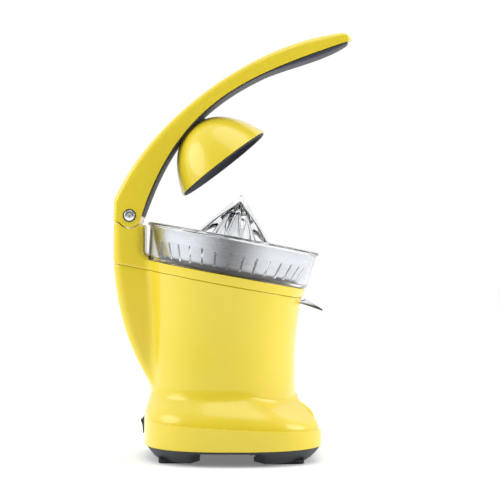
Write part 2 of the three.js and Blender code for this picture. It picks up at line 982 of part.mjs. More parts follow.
function domeShell() {
  const outer = domeCurve(0);
  const inner = domeCurve(-domeWall).reverse();
  return turned([...inner, ...outer], domeSides);
}

function domeLining() {
  const outer = domeCurve(-domeWall - gap);
  const inner = domeCurve(-domeWall - gap - domeLiner).reverse();
  const lip = [
    [inner[inner.length - 1][0], -gap - domeLip],
    [domeRadius, -gap - domeLip],
    [domeRadius, -gap],
    [outer[0][0], -gap],
  ];
  return turned([...inner, ...lip, ...outer], domeSides);
}

// ---------------------------------------------------------------- hinge
function makeHinge() {
  add(armGroup, 'hinge_axle', pin(axleRadius, -armHalfHinge + capDepth + gap,
    armHalfHinge - capDepth - gap, 0, 0), steel);
  for (const [side, label] of [[1, 'left'], [-1, 'right']]) {
    const face = armHalfHinge - capDepth + gap / 2;
    const cap = carve(
      [turned([[0, face], [capRadius, face], [capRadius, face + 1], [capRadius - 0.6, face + 1.5],
        [0, face + 1.8]], 18)],
      [turned([[0, face + 0.7], [1.8, face + 0.7], [1.8, face + 4], [0, face + 4]], 6)],
    ).rotateX(side > 0 ? -Math.PI / 2 : Math.PI / 2);
    add(armGroup, `pivot_cap_${label}`, cap, chrome);
    const trim = tube(capRadius + 0.2, capRingRadius, face, face + 1.2)
      .rotateX(side > 0 ? -Math.PI / 2 : Math.PI / 2);
    add(armGroup, `pivot_ring_${label}`, trim, black);
  }
  // return spring: coil about the axle with a leg at each end
  const coilRadius = 6.2;
  const wireRadius = 0.8;
  const pitch = 2.1;
  const turns = 4;
  const start = 4;
  const route = [];
  for (let k = 0; k <= turns * 12; k++) {
    const angle = (k / 12) * 2 * Math.PI;
    route.push(point(
      coilRadius * Math.cos(angle),
      start + (pitch * k) / 12,
      coilRadius * Math.sin(angle),
    ));
  }
  const path = new THREE.CatmullRomCurve3(route);
  const section = new THREE.Shape();
  section.absarc(0, 0, wireRadius, 0, 2 * Math.PI);
  const wire = new THREE.ExtrudeGeometry(section, {
    steps: turns * 12,
    curveSegments: 3,
    bevelEnabled: false,
    extrudePath: path,
  });
  add(armGroup, 'return_spring', wire, steel);
  // switch that the arm's hub closes as the arm comes down
  const body = carve(
    [box(pivotX - 3, pivotX + 5, -10, 10, 203, 215), box(pivotX - 1, pivotX + 3, -3, 1, 214, 217)],
    [pin(1.2, -20, 20, pivotX + 1, 209, 12)],
  );
  add(group, 'arm_switch', body, black);
}

// ---------------------------------------------------------------- bowl, strainer, cone
function makeBowl() {
  const t = bowlWall;
  const rimLow = bowlRimTop - bowlRimHeight;
  const profile = [
    [bowlTubeRadius, bowlTubeTop],
    [bowlTubeRadius, bowlFloorTop - bowlFloor],
    [bowlNest, bowlFloorTop - bowlFloor],
    [bowlNest, bowlFoot],
    [bowlWallBottom, bowlFoot],
    [bowlWallTop, rimLow - 1],
    [bowlRimRadius, rimLow],
    [bowlRimRadius - 0.4, bowlRimTop],
    [bowlWallTop - t + 0.6, bowlRimTop],
    [bowlWallTop - t, rimLow - 1],
    [bowlWallBottom - t, bowlFoot + t],
    [bowlNest - t, bowlFoot - 1],
    [bowlNest - t, bowlFloorTop],
    [bowlTubeRadius + t, bowlFloorTop],
    [bowlTubeRadius + t, bowlTubeTop],
  ];
  const nozzle = rod(nozzleRadius, nozzleBottom, bowlFloorTop - 0.5).translate(nozzleU, 0, 0);
  const drain = rod(nozzleRadius - 1.6, nozzleBottom - 1, 2).translate(nozzleU, 0, 0);
  add(deckGroup, 'juice_bowl', carve([ring(profile, 32), nozzle], [drain]), clear);
}

function makeStrainer() {
  const s = strainerSheet;
  const rimOuter = bowlWallTop - bowlWall - 0.9;
  const outer = [
    [rimOuter, strainerRimTop],
    [strainerAtSlotTop + 0.9, slotTop + 2],
    [strainerAtSlotTop, slotTop],
    [strainerAtSlotBottom, slotBottom],
    [strainerAtSlotBottom - 6, strainerFloor],
    [strainerCollarRadius, strainerFloor],
    [strainerCollarRadius, strainerCollarTop],
  ];
  const inner = outer.map(([r, z], i) => {
    if (i >= outer.length - 2) {
      return [r + s, i === outer.length - 1 ? z : z + s];
    }
    return i < 4 ? [r - s, i === 0 ? z : z + s * 0.3] : [r - s * 0.4, z + s];
  });
  const slots = [];
  for (let k = 0; k < slotCount; k++) {
    const angle = around(k, slotCount);
    const slot = box(strainerAtSlotBottom - 5, bowlRimRadius, -slotWidth / 2, slotWidth / 2,
      slotBottom + 0.4, slotTop - 0.4);
    slots.push(slot.rotateZ(angle));
  }
  const sheet = ring([...outer, ...inner.reverse()], slotCount).rotateZ(Math.PI / slotCount);
  add(deckGroup, 'strainer', carve([sheet], slots), satinSteel);
}

function coneRing(radius, z, ribDepth, sides) {
  return Array.from({ length: sides }, (_, i) => {
    const angle = around(i, sides);
    const r = radius + ribDepth * Math.cos(coneRibs * angle);
    return point(r * Math.cos(angle), r * Math.sin(angle), z);
  });
}

const coneFlank = [
  [coneBaseRadius, coneBottom, 0],
  [45, 19, 1.2],
  [40.5, 28, 1.4],
  [34, 38, 1.4],
  [25.5, 49, 1.3],
  [14, 61.5, 1],
  [3.6, coneNotch, 0.2],
  [1.9, coneNotch + 4, 0],
  [0.9, coneTip, 0],
];

function makeCone() {
  const sides = coneRibs * 3;
  const outer = loft(coneFlank.map(([r, z, rib]) => coneRing(r, z, rib, sides)));
  const inner = loft(
    [
      [coneBaseRadius - coneWall, coneBottom - 1],
      [45 - coneWall - 1.6, 18],
      [34 - coneWall - 2.2, 36],
      [20 - coneWall - 1.4, 51],
      [7, 61],
    ].map(([r, z]) => coneRing(r, z, 0, 20)),
  );
  const fin = across(
    [
      [-45, 22],
      [-38.4, 38],
      [-7.8, 74.5],
      [-3.9, coneNotch],
      [3.9, coneNotch],
      [7.8, 74.5],
      [38.4, 38],
      [45, 22],
    ],
    -finThickness / 2,
    finThickness / 2,
  );
  const turnedFin = fin.clone().rotateZ(Math.PI / 2);
  const socket = rod(socketRadius, 18, 62);
  const bore = rod(spindleRadius + gap, 10, spindleTop + 1);
  const shell = carve([outer, fin, turnedFin], [inner]);
  add(deckGroup, 'cone', carve([shell, socket], [bore]), clear);
}

// ---------------------------------------------------------------- drive
const boreSteps = 6; // sides of half a bore, whose flats stay clear of the shaft

/** Spur gear about Z with a round bore; a tooth or a gap lies on the angle given. */
function gearShape(teeth, module, bore, phase) {
  const pitchRadius = (teeth * module) / 2;
  const steps = [
    [-0.29, pitchRadius - 1.2 * module],
    [-0.12, pitchRadius + 0.85 * module],
    [0.12, pitchRadius + 0.85 * module],
    [0.29, pitchRadius - 1.2 * module],
  ];
  const shape = new THREE.Shape();
  for (let k = 0; k < teeth; k++) {
    steps.forEach(([share, radius], i) => {
      const angle = phase + ((k + share) / teeth) * 2 * Math.PI;
      const move = k === 0 && i === 0 ? 'moveTo' : 'lineTo';
      shape[move](radius * Math.cos(angle), radius * Math.sin(angle));
    });
  }
  shape.closePath();
  const hole = new THREE.Path();
  hole.absarc(0, 0, bore / Math.cos(Math.PI / (2 * boreSteps)), 0, 2 * Math.PI, true);
  shape.holes.push(hole);
  return shape;
}

function gear(teeth, module, bore, phase, bottom, width) {
  const shape = gearShape(teeth, module, bore, phase);
  const body = new THREE.ExtrudeGeometry(shape, {
    depth: width,
    bevelEnabled: false,
    curveSegments: boreSteps,
  });
  return outward(body.translate(0, 0, bottom));
}

const reachOne = ((pinionTeeth + idlerTeeth) * stageOneModule) / 2 + backlash;
const reachTwo = ((idlerPinionTeeth + outputTeeth) * stageTwoModule) / 2 + backlash;
const idlerU = (reachTwo ** 2 - reachOne ** 2 + motorU ** 2) / (2 * motorU);
const idlerV = Math.sqrt(reachTwo ** 2 - idlerU ** 2);

function makeDrive() {
  const bearing = spindleRadius + 3;
  const shaft = turned(
    [
      [0, gearPlateTop - gearPlateThickness - 3],
      [spindleRadius - 0.8, gearPlateTop - gearPlateThickness - 3],
      [spindleRadius, gearPlateTop - gearPlateThickness - 2],
      [spindleRadius, spindleTop - 1],
      [spindleRadius - 1, spindleTop],
      [0, spindleTop],
    ],
    24,
  );
  const flatCut = box(spindleRadius - 0.9, 20, -10, 10, 15, 60);
  add(deckGroup, 'spindle', carve([shaft], [flatCut]), steel);
  const towards = Math.atan2(idlerV, idlerU);
  const halfTooth = Math.PI / outputTeeth;
  add(
    deckGroup,
    'output_gear',
    gear(outputTeeth, stageTwoModule, spindleRadius + gap / 3, towards + halfTooth, outputBottom,
      gearWidth),
    nylon,
  );
  add(deckGroup, 'spindle_bush', tube(spindleRadius + 0.2, bearing - 0.2, deckPlateTop - 2.5,
    towerTop - 3, 24), copper);
  add(deckGroup, 'spindle_seal', ring([[spindleRadius + 0.2, towerTop - 2.7],
    [bearing - 0.2, towerTop - 2.7], [bearing - 0.2, towerTop - 0.2],
    [spindleRadius + 1.4, towerTop + 1.2], [spindleRadius + 0.2, towerTop + 1.2]], 24), rubber);
  add(deckGroup, 'circlip', tube(spindleRadius + 0.1, spindleRadius + 2.4, -11.4, -10.3, 24), steel);

  // idler: large wheel below, driven by the motor; small wheel above, driving the output gear
  const away = towards + Math.PI;
  const toMotor = Math.atan2(-idlerV, motorU - idlerU);
  const large = gear(idlerTeeth, stageOneModule, idlerPinRadius + gap, toMotor, idlerBottom,
    idlerWidth);
  const small = gear(idlerPinionTeeth, stageTwoModule, idlerPinRadius + gap, away, idlerBottom + 1,
    outputBottom + gearWidth - idlerBottom - 1.5);
  add(deckGroup, 'idler_gear', moved(carve([large, small]), idlerU, idlerV, 0), nylon);
  add(deckGroup, 'idler_pin', moved(rod(idlerPinRadius, gearPlateTop - gearPlateThickness,
    outputBottom + gearWidth, 16), idlerU, idlerV, 0), steel);

  // motor shaft with its pinion, rotor core and fan
  const motorTop = gearPlateTop - gearPlateThickness - gap;
  const motorBottom = motorTop - motorLength;
  add(deckGroup, 'motor_shaft', moved(rod(shaftRadius, motorBottom - 4, idlerBottom + idlerWidth,
    16), motorU, 0, 0), steel);
  const pinionPhase = toMotor + Math.PI + Math.PI / pinionTeeth;
  add(deckGroup, 'motor_pinion', moved(gear(pinionTeeth, stageOneModule, shaftRadius + 0.1,
    pinionPhase, idlerBottom, idlerWidth - 0.5), motorU, 0, 0), zinc);
  add(deckGroup, 'rotor_core', moved(tube(shaftRadius + 0.1, rotorRadius, motorBottom + 14,
    motorTop - 9, 32), motorU, 0, 0), steel);
  const blades = [];
  for (let k = 0; k < 8; k++) {
    blades.push(box(6, rotorRadius, -0.7, 0.7, motorBottom + 4, motorBottom + 10)
      .rotateZ(around(k, 8)));
  }
  const fanHub = rod(8, motorBottom + 4, motorBottom + 8);
  const fanBore = rod(shaftRadius + 0.1, motorBottom, motorBottom + 20, 16);
  add(deckGroup, 'motor_fan', moved(carve([fanHub, ...blades], [fanBore]), motorU, 0, 0), charcoal);
  const windings = tube(rotorRadius + 1.2, motorRadius - motorWall - gap, motorBottom + 15,
    motorTop - 8, 32);
  add(deckGroup, 'stator', moved(windings, motorU, 0, 0), copper);
  const can = carve(
    [ring([[shaftRadius + gap, motorBottom], [motorRadius, motorBottom], [motorRadius, motorTop],
      [motorRadius - motorWall, motorTop], [motorRadius - motorWall, motorBottom + motorWall],
      [shaftRadius + gap, motorBottom + motorWall]], 32)],
    [0, 1, 2, 3].map((k) => box(10, 22, -3, 3, motorBottom - 1, motorBottom + 3)
      .rotateZ(around(k, 4))),
  );
  add(deckGroup, 'motor_can', moved(can, motorU, 0, 0), zinc);

  // plate that carries the motor and the gears, hung on posts under the deck
  const plateBottom = gearPlateTop - gearPlateThickness;
  const postTop = deckPlateTop - deckPlate - gap;
  const posts = postPlaces.map(([u, v]) => rod(postRadius, gearPlateTop - 1, postTop, 10)
    .translate(u, v, 0));
  const postBores = postPlaces.map(([u, v]) => rod(1.9, plateBottom - 1, postTop + 1, 10)
    .translate(u, v, 0));
  const plate = carve(
    [rod(gearPlateRadius, plateBottom, gearPlateTop, 36), ...posts],
    [rod(spindleRadius + gap, -60, 0), moved(rod(idlerPinRadius + 0.1, -60, 0, 16), idlerU, idlerV,
      0), moved(rod(shaftRadius + 1.2, -60, -20), motorU, 0, 0), ...postBores],
  );
  add(deckGroup, 'gear_plate', plate, zinc);
  postPlaces.forEach(([u, v], i) => {
    const screw = turned([[0, plateBottom - 2.4], [3.2, plateBottom - 2.4],
      [3.2, plateBottom - gap], [1.5, plateBottom - gap], [1.5, deckPlateTop - 1.2],
      [0, deckPlateTop - 1.2]], 12);
    add(deckGroup, `plate_screw_${i + 1}`, moved(screw, u, v, 0), steel);
  });
}

// ---------------------------------------------------------------- spout
function makeSpout() {
  const stations = [
    [60.5, -15.2, -12.2, spoutHalf],
    [80.6, -15.4, -12.2, spoutHalf],
    [83, -15.7, -10.5, spoutHalf],
    [92.5, -17, -13.4, spoutHalf - 0.8],
    [101.8, -18.5, -17, spoutHalf - 4],
  ];
  const rings = stations.map(([u, low, high, half]) => {
    const floorTop = low + spoutSheet;
    const sides = [
      [-half, high],
      [-half, low + 1.4],
      [-half + 2, low],
      [half - 2, low],
      [half, low + 1.4],
      [half, high],
      [half - spoutSheet, high],
      [half - spoutSheet, Math.min(floorTop + 1, high - 0.1)],
      [half - 2.4, floorTop],
      [-half + 2.4, floorTop],
      [-half + spoutSheet, Math.min(floorTop + 1, high - 0.1)],
      [-half + spoutSheet, high],
    ];
    return sides.map(([y, w]) => point(u, y, w));
  });
  const trough = troughLoft(rings);
  const backWall = box(60.5, 61.5, -spoutHalf + 0.5, spoutHalf - 0.5, -14.8, -12.4);
  const eye = (side) => box(spoutPinU - 3, spoutPinU + 3, side * 9 - 1, side * 9 + 1, spoutPinW - 2.6,
    -14.6);
  const bore = pin(spoutPinRadius + gap, -20, 20, spoutPinU, spoutPinW, 16);
  add(deckGroup, 'spout', carve([trough, backWall, eye(1), eye(-1)], [bore]), satinSteel);
  add(deckGroup, 'spout_pin', pin(spoutPinRadius, -14, 14, spoutPinU, spoutPinW, 16), steel);
}

/** Loft over U-shaped sections, whose ends are closed by strips between the two sides. */
function troughLoft(rings) {
  const count = rings[0].length;
  const places = rings.flat().flatMap((p) => [p.x, p.y, p.z]);
  const index = [];
  for (let k = 0; k + 1 < rings.length; k++) {
    for (let i = 0; i < count; i++) {
      const a = k * count + i;
      const b = k * count + ((i + 1) % count);
      index.push(a, b, b + count, a, b + count, a + count);
    }
  }
  for (const [start, flip] of [[0, false], [(rings.length - 1) * count, true]]) {
    for (let i = 0; i + 1 < count / 2; i++) {
      const quad = [i, i + 1, count - 2 - i, count - 1 - i].map((k) => k + start);
      const [a, b, c, d] = flip ? quad : [...quad].reverse();
      index.push(a, b, c, a, c, d);
    }
  }
  const geometry = new THREE.BufferGeometry();
  geometry.setAttribute('position', new THREE.Float32BufferAttribute(places, 3));
  geometry.setIndex(index);
  return outward(geometry);
}

makeHousing();
makeBottom();
makeRear();
makeArm();
makeHinge();
makeBowl();
makeStrainer();
makeCone();
makeDrive();
makeSpout();

export default group;
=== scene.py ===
"""Citrus press juicer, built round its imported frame: an arm press with a dome over a clear ribbed
cone, a slotted strainer and a clear bowl on a tilted deck, on a moulded housing with a rear column.
Metres, +Z up, +X towards the spout. The deck's own axes are u along the deck and w square to it."""

import json
import math

import bmesh
import bpy
import numpy as np
from mathutils import Matrix, Vector


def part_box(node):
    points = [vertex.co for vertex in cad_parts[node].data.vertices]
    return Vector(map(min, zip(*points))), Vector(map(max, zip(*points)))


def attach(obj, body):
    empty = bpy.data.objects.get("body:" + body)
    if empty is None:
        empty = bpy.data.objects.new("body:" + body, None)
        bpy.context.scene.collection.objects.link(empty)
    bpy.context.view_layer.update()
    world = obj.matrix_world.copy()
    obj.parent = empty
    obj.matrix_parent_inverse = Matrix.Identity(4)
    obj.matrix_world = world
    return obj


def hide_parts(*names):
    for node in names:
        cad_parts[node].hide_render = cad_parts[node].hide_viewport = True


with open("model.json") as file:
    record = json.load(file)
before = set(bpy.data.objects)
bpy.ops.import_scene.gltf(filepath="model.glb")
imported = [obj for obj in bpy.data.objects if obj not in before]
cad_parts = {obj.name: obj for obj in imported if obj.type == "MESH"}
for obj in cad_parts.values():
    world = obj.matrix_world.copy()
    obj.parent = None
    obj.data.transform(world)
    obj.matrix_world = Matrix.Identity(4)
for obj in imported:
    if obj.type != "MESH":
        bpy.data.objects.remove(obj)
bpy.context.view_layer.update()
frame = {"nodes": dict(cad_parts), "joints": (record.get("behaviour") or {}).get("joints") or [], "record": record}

bl_info = {
    "name": "Citrus Press Juicer",
    "version": (1, 0, 0),
    "blender": (4, 5, 0),
    "location": "View3D > Sidebar > Juicer",
    "description": "Builds the shells, clear parts, metal parts and finishes of an arm-press juicer",
    "category": "Object",
}

MM = 0.001

# ------------------------------------------------------------ places taken from the frame
JOINTS = {joint["name"]: joint for joint in frame["joints"]}
PIVOT = Vector(JOINTS["arm_hinge"]["pos_m"])
DECK = Vector(JOINTS["spindle_spin"]["pos_m"])
DECK_AXIS = Vector(JOINTS["spindle_spin"]["axis"]).normalized()
TILT = math.atan2(DECK_AXIS.x, DECK_AXIS.z)
DECK_FRAME = Matrix.Translation(DECK) @ Matrix.Rotation(TILT, 4, "Y")

BASE_LOW, BASE_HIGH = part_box("lower_housing")
COLUMN_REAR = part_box("upper_housing")[0].x
BASE_BOTTOM = BASE_LOW.z
COVER_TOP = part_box("bottom_cover")[1].z
ARM_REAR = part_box("arm_cover")[0].x

# ------------------------------------------------------------ the housing's shape
DRUM_X = -9 * MM
DRUM_RADIUS = 73.3 * MM
DECK_RADIUS = 81.2 * MM
DRUM_STRAIGHT_TOP = 100 * MM
DRUM_FLARE = 2.2  # power of the curve from the drum out to the deck
BASE_REAR = -88.7 * MM
BASE_FRONT = 93.8 * MM
BASE_HALF = BASE_HIGH.y
BASE_POWER = 2.6  # roundness of the plan outline
BASE_FLARE = 1.6  # power of the curve from the base in to the drum
BAND_TOP = 36 * MM
BAND_SLOPE = 0.055
BAND_LEDGE = 0.075  # share that the surface steps in by over the band
WAIST = 66 * MM
SCOOP_X = 112 * MM
SCOOP_RADIUS = 47 * MM
SCOOP_FLARE = 1 * MM
COLUMN_HALF = 23.5 * MM
COLUMN_FRONT = -87.6 * MM
COLUMN_CENTRE = -103 * MM
COLUMN_CORNER = 9 * MM
COLUMN_FILLET = 12 * MM
COLUMN_CURVE = ((-82.9, 76.6), (-108.1, 114.1), (-120.5, 167.1), (-119.2, 213.9))
SPLIT = 236.9 * MM
SEAM = -9.7 * MM
SEAM_GAP = 0.3 * MM
NEST_RADIUS = 78.2 * MM
BOWL_ROOM = ((0, 82.4), (31.6, 86.7), (34.8, 89.2))  # height over the deck and radius, millimetres
DECK_PLATE_TOP = -7 * MM
DECK_PLATE = 2.3 * MM
DRAIN_U = 68 * MM  # place of the drain along the deck
KNUCKLE = 12 * MM

# facets that lean down from the drum to the front wings of the base
FACET_POINT = (44 * MM, 68 * MM, 52 * MM)
FACET_NORMAL = (0.429, 0.300, 0.852)

# ------------------------------------------------------------ the arm's and the dome's shape
ARM_OVER = ((-118.6, 259.3), (-83.1, 341.2), (22.9, 419.7), (113, 428.5))
ARM_UNDER = ((-92.4, 238.1), (-53.5, 362.8), (19.8, 385.4), (118, 420.1))
HUB_ROOM = 0.9 * MM
ARM_HALF_HINGE = 23.5 * MM
ARM_HALF_TIP = 18 * MM
LINER_START = 0.018  # shares of the lower edge's length
GRIP_START = 0.69
GRIP_END = 0.998
GRIP_GAP = 0.0006  # left open between the lining and the grip
STRIP_BED = 0.6 * MM  # how deep the lining and the grip are let into the arm
DOME_CENTRE = Vector((-8.6 * MM, 0, 296.9 * MM))
DOME_LEAN = math.radians(37.8)
DOME_FRAME = Matrix.Translation(DOME_CENTRE) @ Matrix.Rotation(-DOME_LEAN, 4, "Y")
DOME_RADIUS = 52.5 * MM
DOME_DEPTH = 49.5 * MM

# ------------------------------------------------------------ the camera
CAMERA_PLACE = (0.0184, -1.428, 0.1969)
CAMERA_SHIFT = 0.024  # moves the picture up without tilting the camera


# ------------------------------------------------------------ properties
def length(name, description, default):
    """A length that a user can change, in metres."""
    return bpy.props.FloatProperty(
        name=name, description=description, default=default, unit="LENGTH", precision=5
    )


def colour(name, description, default):
    """A scene-linear colour that a user can change."""
    return bpy.props.FloatVectorProperty(
        name=name, description=description, default=default, subtype="COLOR", size=3, min=0, max=1
    )


class JuicerSizes(bpy.types.PropertyGroup):
    """Sizes of the shells and of the parts over the deck"""

    shell_wall: length("Shell wall", "Thickness of the moulded housing", 2.6 * MM)
    shell_edge: length("Shell edge", "Rounding of the housing's edges at the seam", 0.7 * MM)
    arm_corner: length("Arm corner", "Rounding along the top of the arm", 6.5 * MM)
    liner_depth: length("Lining depth", "How far the lining stands out under the arm", 0.8 * MM)
    grip_depth: length("Grip depth", "How far the grip stands out where it is fullest", 4.0 * MM)
    dome_wall: length("Dome wall", "Thickness of the dome's shell", 2.4 * MM)
    bowl_wall: length("Bowl wall", "Thickness of the clear bowl", 2.2 * MM)
    sheet: length("Steel sheet", "Thickness of the strainer and the spout", 0.9 * MM)
    slot_width: length("Slot width", "Width of one slot of the strainer", 2.2 * MM)
    rib_depth: length("Rib depth", "Half the height of a rib of the cone", 1.4 * MM)
    slots: bpy.props.IntProperty(
        name="Slots", description="Number of slots round the strainer", default=36, min=12
    )
    ribs: bpy.props.IntProperty(
        name="Ribs", description="Number of ribs round the cone", default=12, min=4
    )


class JuicerColours(bpy.types.PropertyGroup):
    """Base colours of the finishes"""

    shell: colour("Shell", "Gloss plastic of the housing, arm and dome", (0.80, 0.655, 0.038))
    soft: colour("Soft grey", "Linings and grip", (0.048, 0.050, 0.068))
    black: colour("Black plastic", "Bottom cover, switch and pads", (0.022, 0.026, 0.032))
    rubber: colour("Rubber", "Feet, seal and inlet", (0.014, 0.014, 0.015))
    clear: colour("Clear plastic", "Cone", (0.93, 0.945, 0.955))
    bowl: colour("Bowl", "Faint tint of the clear bowl", (0.87, 0.885, 0.90))
    steel: colour("Steel", "Strainer, spout and shafts", (0.62, 0.63, 0.65))
    nylon: colour("Nylon", "Gears", (0.76, 0.74, 0.66))
    copper: colour("Copper", "Windings and bush", (0.66, 0.30, 0.13))
    zinc: colour("Zinc", "Castings and motor can", (0.42, 0.43, 0.43))


class JuicerStage(bpy.types.PropertyGroup):
    """Light, floor and camera"""

    floor: colour("Floor", "Colour of the floor", (0.86, 0.86, 0.87))
    key: bpy.props.FloatProperty(
        name="Key light", description="Power of the large light at the left", default=12,
        unit="POWER",
    )
    fill: bpy.props.FloatProperty(
        name="Fill light", description="Power of the large light at the right", default=12,
        unit="POWER",
    )
    lens: bpy.props.FloatProperty(
        name="Lens", description="Focal length of the camera", default=100.8, unit="CAMERA"
    )


# ------------------------------------------------------------ curves and fields
def bezier(points, t):
    """Places on a cubic curve given in millimetres as four (x, z) pairs, in metres."""
    p = np.array(points, float) * MM
    t = np.asarray(t, float)[..., None]
    s = 1 - t
    return s**3 * p[0] + 3 * s * s * t * p[1] + 3 * s * t * t * p[2] + t**3 * p[3]


def metres(points):
    """Pairs given in millimetres, in metres."""
    return [(a * MM, b * MM) for a, b in points]


def round_angles(count):
    """Evenly spaced angles once round a circle."""
    return np.linspace(0, 2 * math.pi, count, endpoint=False)


def squared(angle, power):
    """X and Y of a circle of radius 1 that a power below 1 swells towards its corners."""
    c = np.cos(angle)
    s = np.sin(angle)
    return np.sign(c) * np.abs(c) ** power, np.sign(s) * np.abs(s) ** power


def mix(a, b, t):
    return a + (b - a) * t


def smoothstep(low, high, value):
    t = np.clip((value - low) / (high - low), 0, 1)
    return t * t * (3 - 2 * t)


def smooth_min(a, b, k):
    """The lower of two distances, with a fillet about k wide where they meet."""
    h = np.clip(0.5 + 0.5 * (b - a) / k, 0, 1)
    return mix(b, a, h) - k * h * (1 - h)


def smooth_max(a, b, k):
    return -smooth_min(-a, -b, k)


def rounded_box(x, y, low, high, half, corner):
    """Distance in plan to a rectangle from low to high along X with rounded corners."""
    qx = np.abs(x - (low + high) / 2) - (high - low) / 2 + corner
    qy = np.abs(y) - half + corner
    outside = np.hypot(np.maximum(qx, 0), np.maximum(qy, 0))
    return outside + np.minimum(np.maximum(qx, qy), 0) - corner


def even(points, count, bend=4 * MM):
    """A closed outline set out again with count points, closer together where it bends."""
    step = np.roll(points, -1, axis=0) - points
    size = np.linalg.norm(step, axis=1)
    ahead = step / size[:, None]
    turn = np.arccos(np.clip((ahead * np.roll(ahead, 1, axis=0)).sum(axis=1), -1, 1))
    spread = np.concatenate([[0], np.cumsum(size + bend * (turn + np.roll(turn, -1)) / 2)])
    closed = np.vstack([points, points[:1]])
    places = np.linspace(0, spread[-1], count, endpoint=False)
    return np.column_stack([np.interp(places, spread, closed[:, k]) for k in range(3)])


def outline(field, height, centre, inset=0.0, reach=0.16, count=360, angles=1440):
    """The closed line where a field in plan, read on the surface z = height(x), equals -inset."""
    angle = round_angles(angles)
    c = np.cos(angle)
    s = np.sin(angle)
    low = np.zeros(angles)
    high = np.full(angles, reach)
    for _ in range(26):  # halves the span until it is far below a micrometre
        middle = (low + high) / 2
        x = centre + middle * c
        value = field(x, middle * s, height(x)) + inset
        low = np.where(value < 0, middle, low)
        high = np.where(value < 0, high, middle)
    x = centre + low * c
    return even(np.column_stack([x, low * s, height(x)]), count)


# ------------------------------------------------------------ meshes
def mesh_object(name, points, faces, crease=38):
    """A smooth-shaded piece from points and faces, with sharp edges kept above an angle."""
    mesh = bpy.data.meshes.new(name)
    mesh.from_pydata([tuple(p) for p in points], [], faces)
    tidy = bmesh.new()
    tidy.from_mesh(mesh)
    bmesh.ops.remove_doubles(tidy, verts=tidy.verts, dist=2e-6)
    bmesh.ops.dissolve_degenerate(tidy, edges=tidy.edges, dist=1e-7)
    bmesh.ops.recalc_face_normals(tidy, faces=tidy.faces)
    tidy.to_mesh(mesh)
    tidy.free()
    piece = bpy.data.objects.new(name, mesh)
    bpy.context.scene.collection.objects.link(piece)
    soften(piece, crease)
    return piece


def soften(piece, crease=38):
    piece.data.shade_smooth()
    piece.data.set_sharp_from_angle(angle=math.radians(crease))


def ring_faces(rings, count, loop=False):
    """Quads between neighbouring rings of a skin."""
    faces = []
    for k in range(rings if loop else rings - 1):
        a = k * count
        b = ((k + 1) % rings) * count
        for i in range(count):
            j = (i + 1) % count
            faces.append((a + i, a + j, b + j, b + i))
    return faces


def strip_cap(count, start, odd):
    """Quads across a ring whose points mirror each other: odd is 1 where point 0 is its own mirror,
    and 0 where its mirror is the last point."""
    faces = []
    for i in range(count // 2):
        mirror = count - i - 1 + odd
        quad = [i, i + 1, (mirror - 1) % count, mirror % count]
        corners = list(dict.fromkeys(start + k for k in quad))
        if len(corners) > 2:
            faces.append(tuple(corners))
    return faces


def skin(name, rings, loop=False, odd=1, crease=38):
    """A closed piece over rings with equal numbers of points: capped, or closed on itself as a loop."""
    count = len(rings[0])
    points = np.vstack(rings)
    faces = ring_faces(len(rings), count, loop)
    if not loop:
        faces += strip_cap(count, 0, odd) + strip_cap(count, (len(rings) - 1) * count, odd)
    return mesh_object(name, points, faces, crease)


def joined(name, pieces):
    """Pieces put into one object without a boolean."""
    points = []
    faces = []
    for piece in pieces:
        start = len(points)
        points += [v.co[:] for v in piece.data.vertices]
        faces += [tuple(start + k for k in face.vertices) for face in piece.data.polygons]
        bpy.data.objects.remove(piece)
    return mesh_object(name, points, faces)


def turned(name, profile, frame_matrix, sides=128, closed=True):
    """A solid of revolution. The profile is [radius, height] pairs that start and end on the axis,
    or close on themselves where closed is set."""
    rows = []
    for k in range(sides):
        angle = 2 * math.pi * k / sides
        rows.append([(r * math.cos(angle), r * math.sin(angle), h) for r, h in profile])
    count = len(profile)
    points = [frame_matrix @ Vector(p) for row in rows for p in row]
    faces = []
    for k in range(sides):
        a = k * count
        b = ((k + 1) % sides) * count
        for i in range(count if closed else count - 1):
            j = (i + 1) % count
            faces.append((a + i, b + i, b + j, a + j))
    return mesh_object(name, points, faces)


def rounded(profile, radii, steps=5):
    """A profile with its corners rounded: radii gives one radius for each corner, 0 to keep it."""
    result = []
    count = len(profile)
    for i, (place, radius) in enumerate(zip(profile, radii)):
        here = Vector(place)
        before = Vector(profile[i - 1]) - here
        after = Vector(profile[(i + 1) % count]) - here
        if radius <= 0 or before.length < 1e-7 or after.length < 1e-7:
            result.append(tuple(here))
            continue
        reach = min(radius, before.length * 0.48, after.length * 0.48)
        start = here + before.normalized() * reach
        end = here + after.normalized() * reach
        for k in range(steps + 1):
            t = k / steps
            result.append(tuple((1 - t) ** 2 * start + 2 * t * (1 - t) * here + t * t * end))
    return result


def prism(name, profile, low, high, frame_matrix=Matrix.Identity(4), edge=0.0):
    """A profile of [x, z] pairs drawn along Y, with its ends' edges bevelled by edge."""
    stations = [(low, -edge), (low + edge, 0), (high - edge, 0), (high, -edge)]
    if edge <= 0:
        stations = [(low, 0), (high, 0)]
    flat = np.array(profile, float)
    inward = offset_directions(flat)
    points = []
    for y, grow in stations:
        for p, n in zip(flat, inward):
            q = p - n * grow
            points.append(frame_matrix @ Vector((q[0], y, q[1])))
    count = len(flat)
    faces = ring_faces(len(stations), count)
    faces.append(tuple(range(count)))
    faces.append(tuple((len(stations) - 1) * count + k for k in range(count)))
    return mesh_object(name, points, faces)


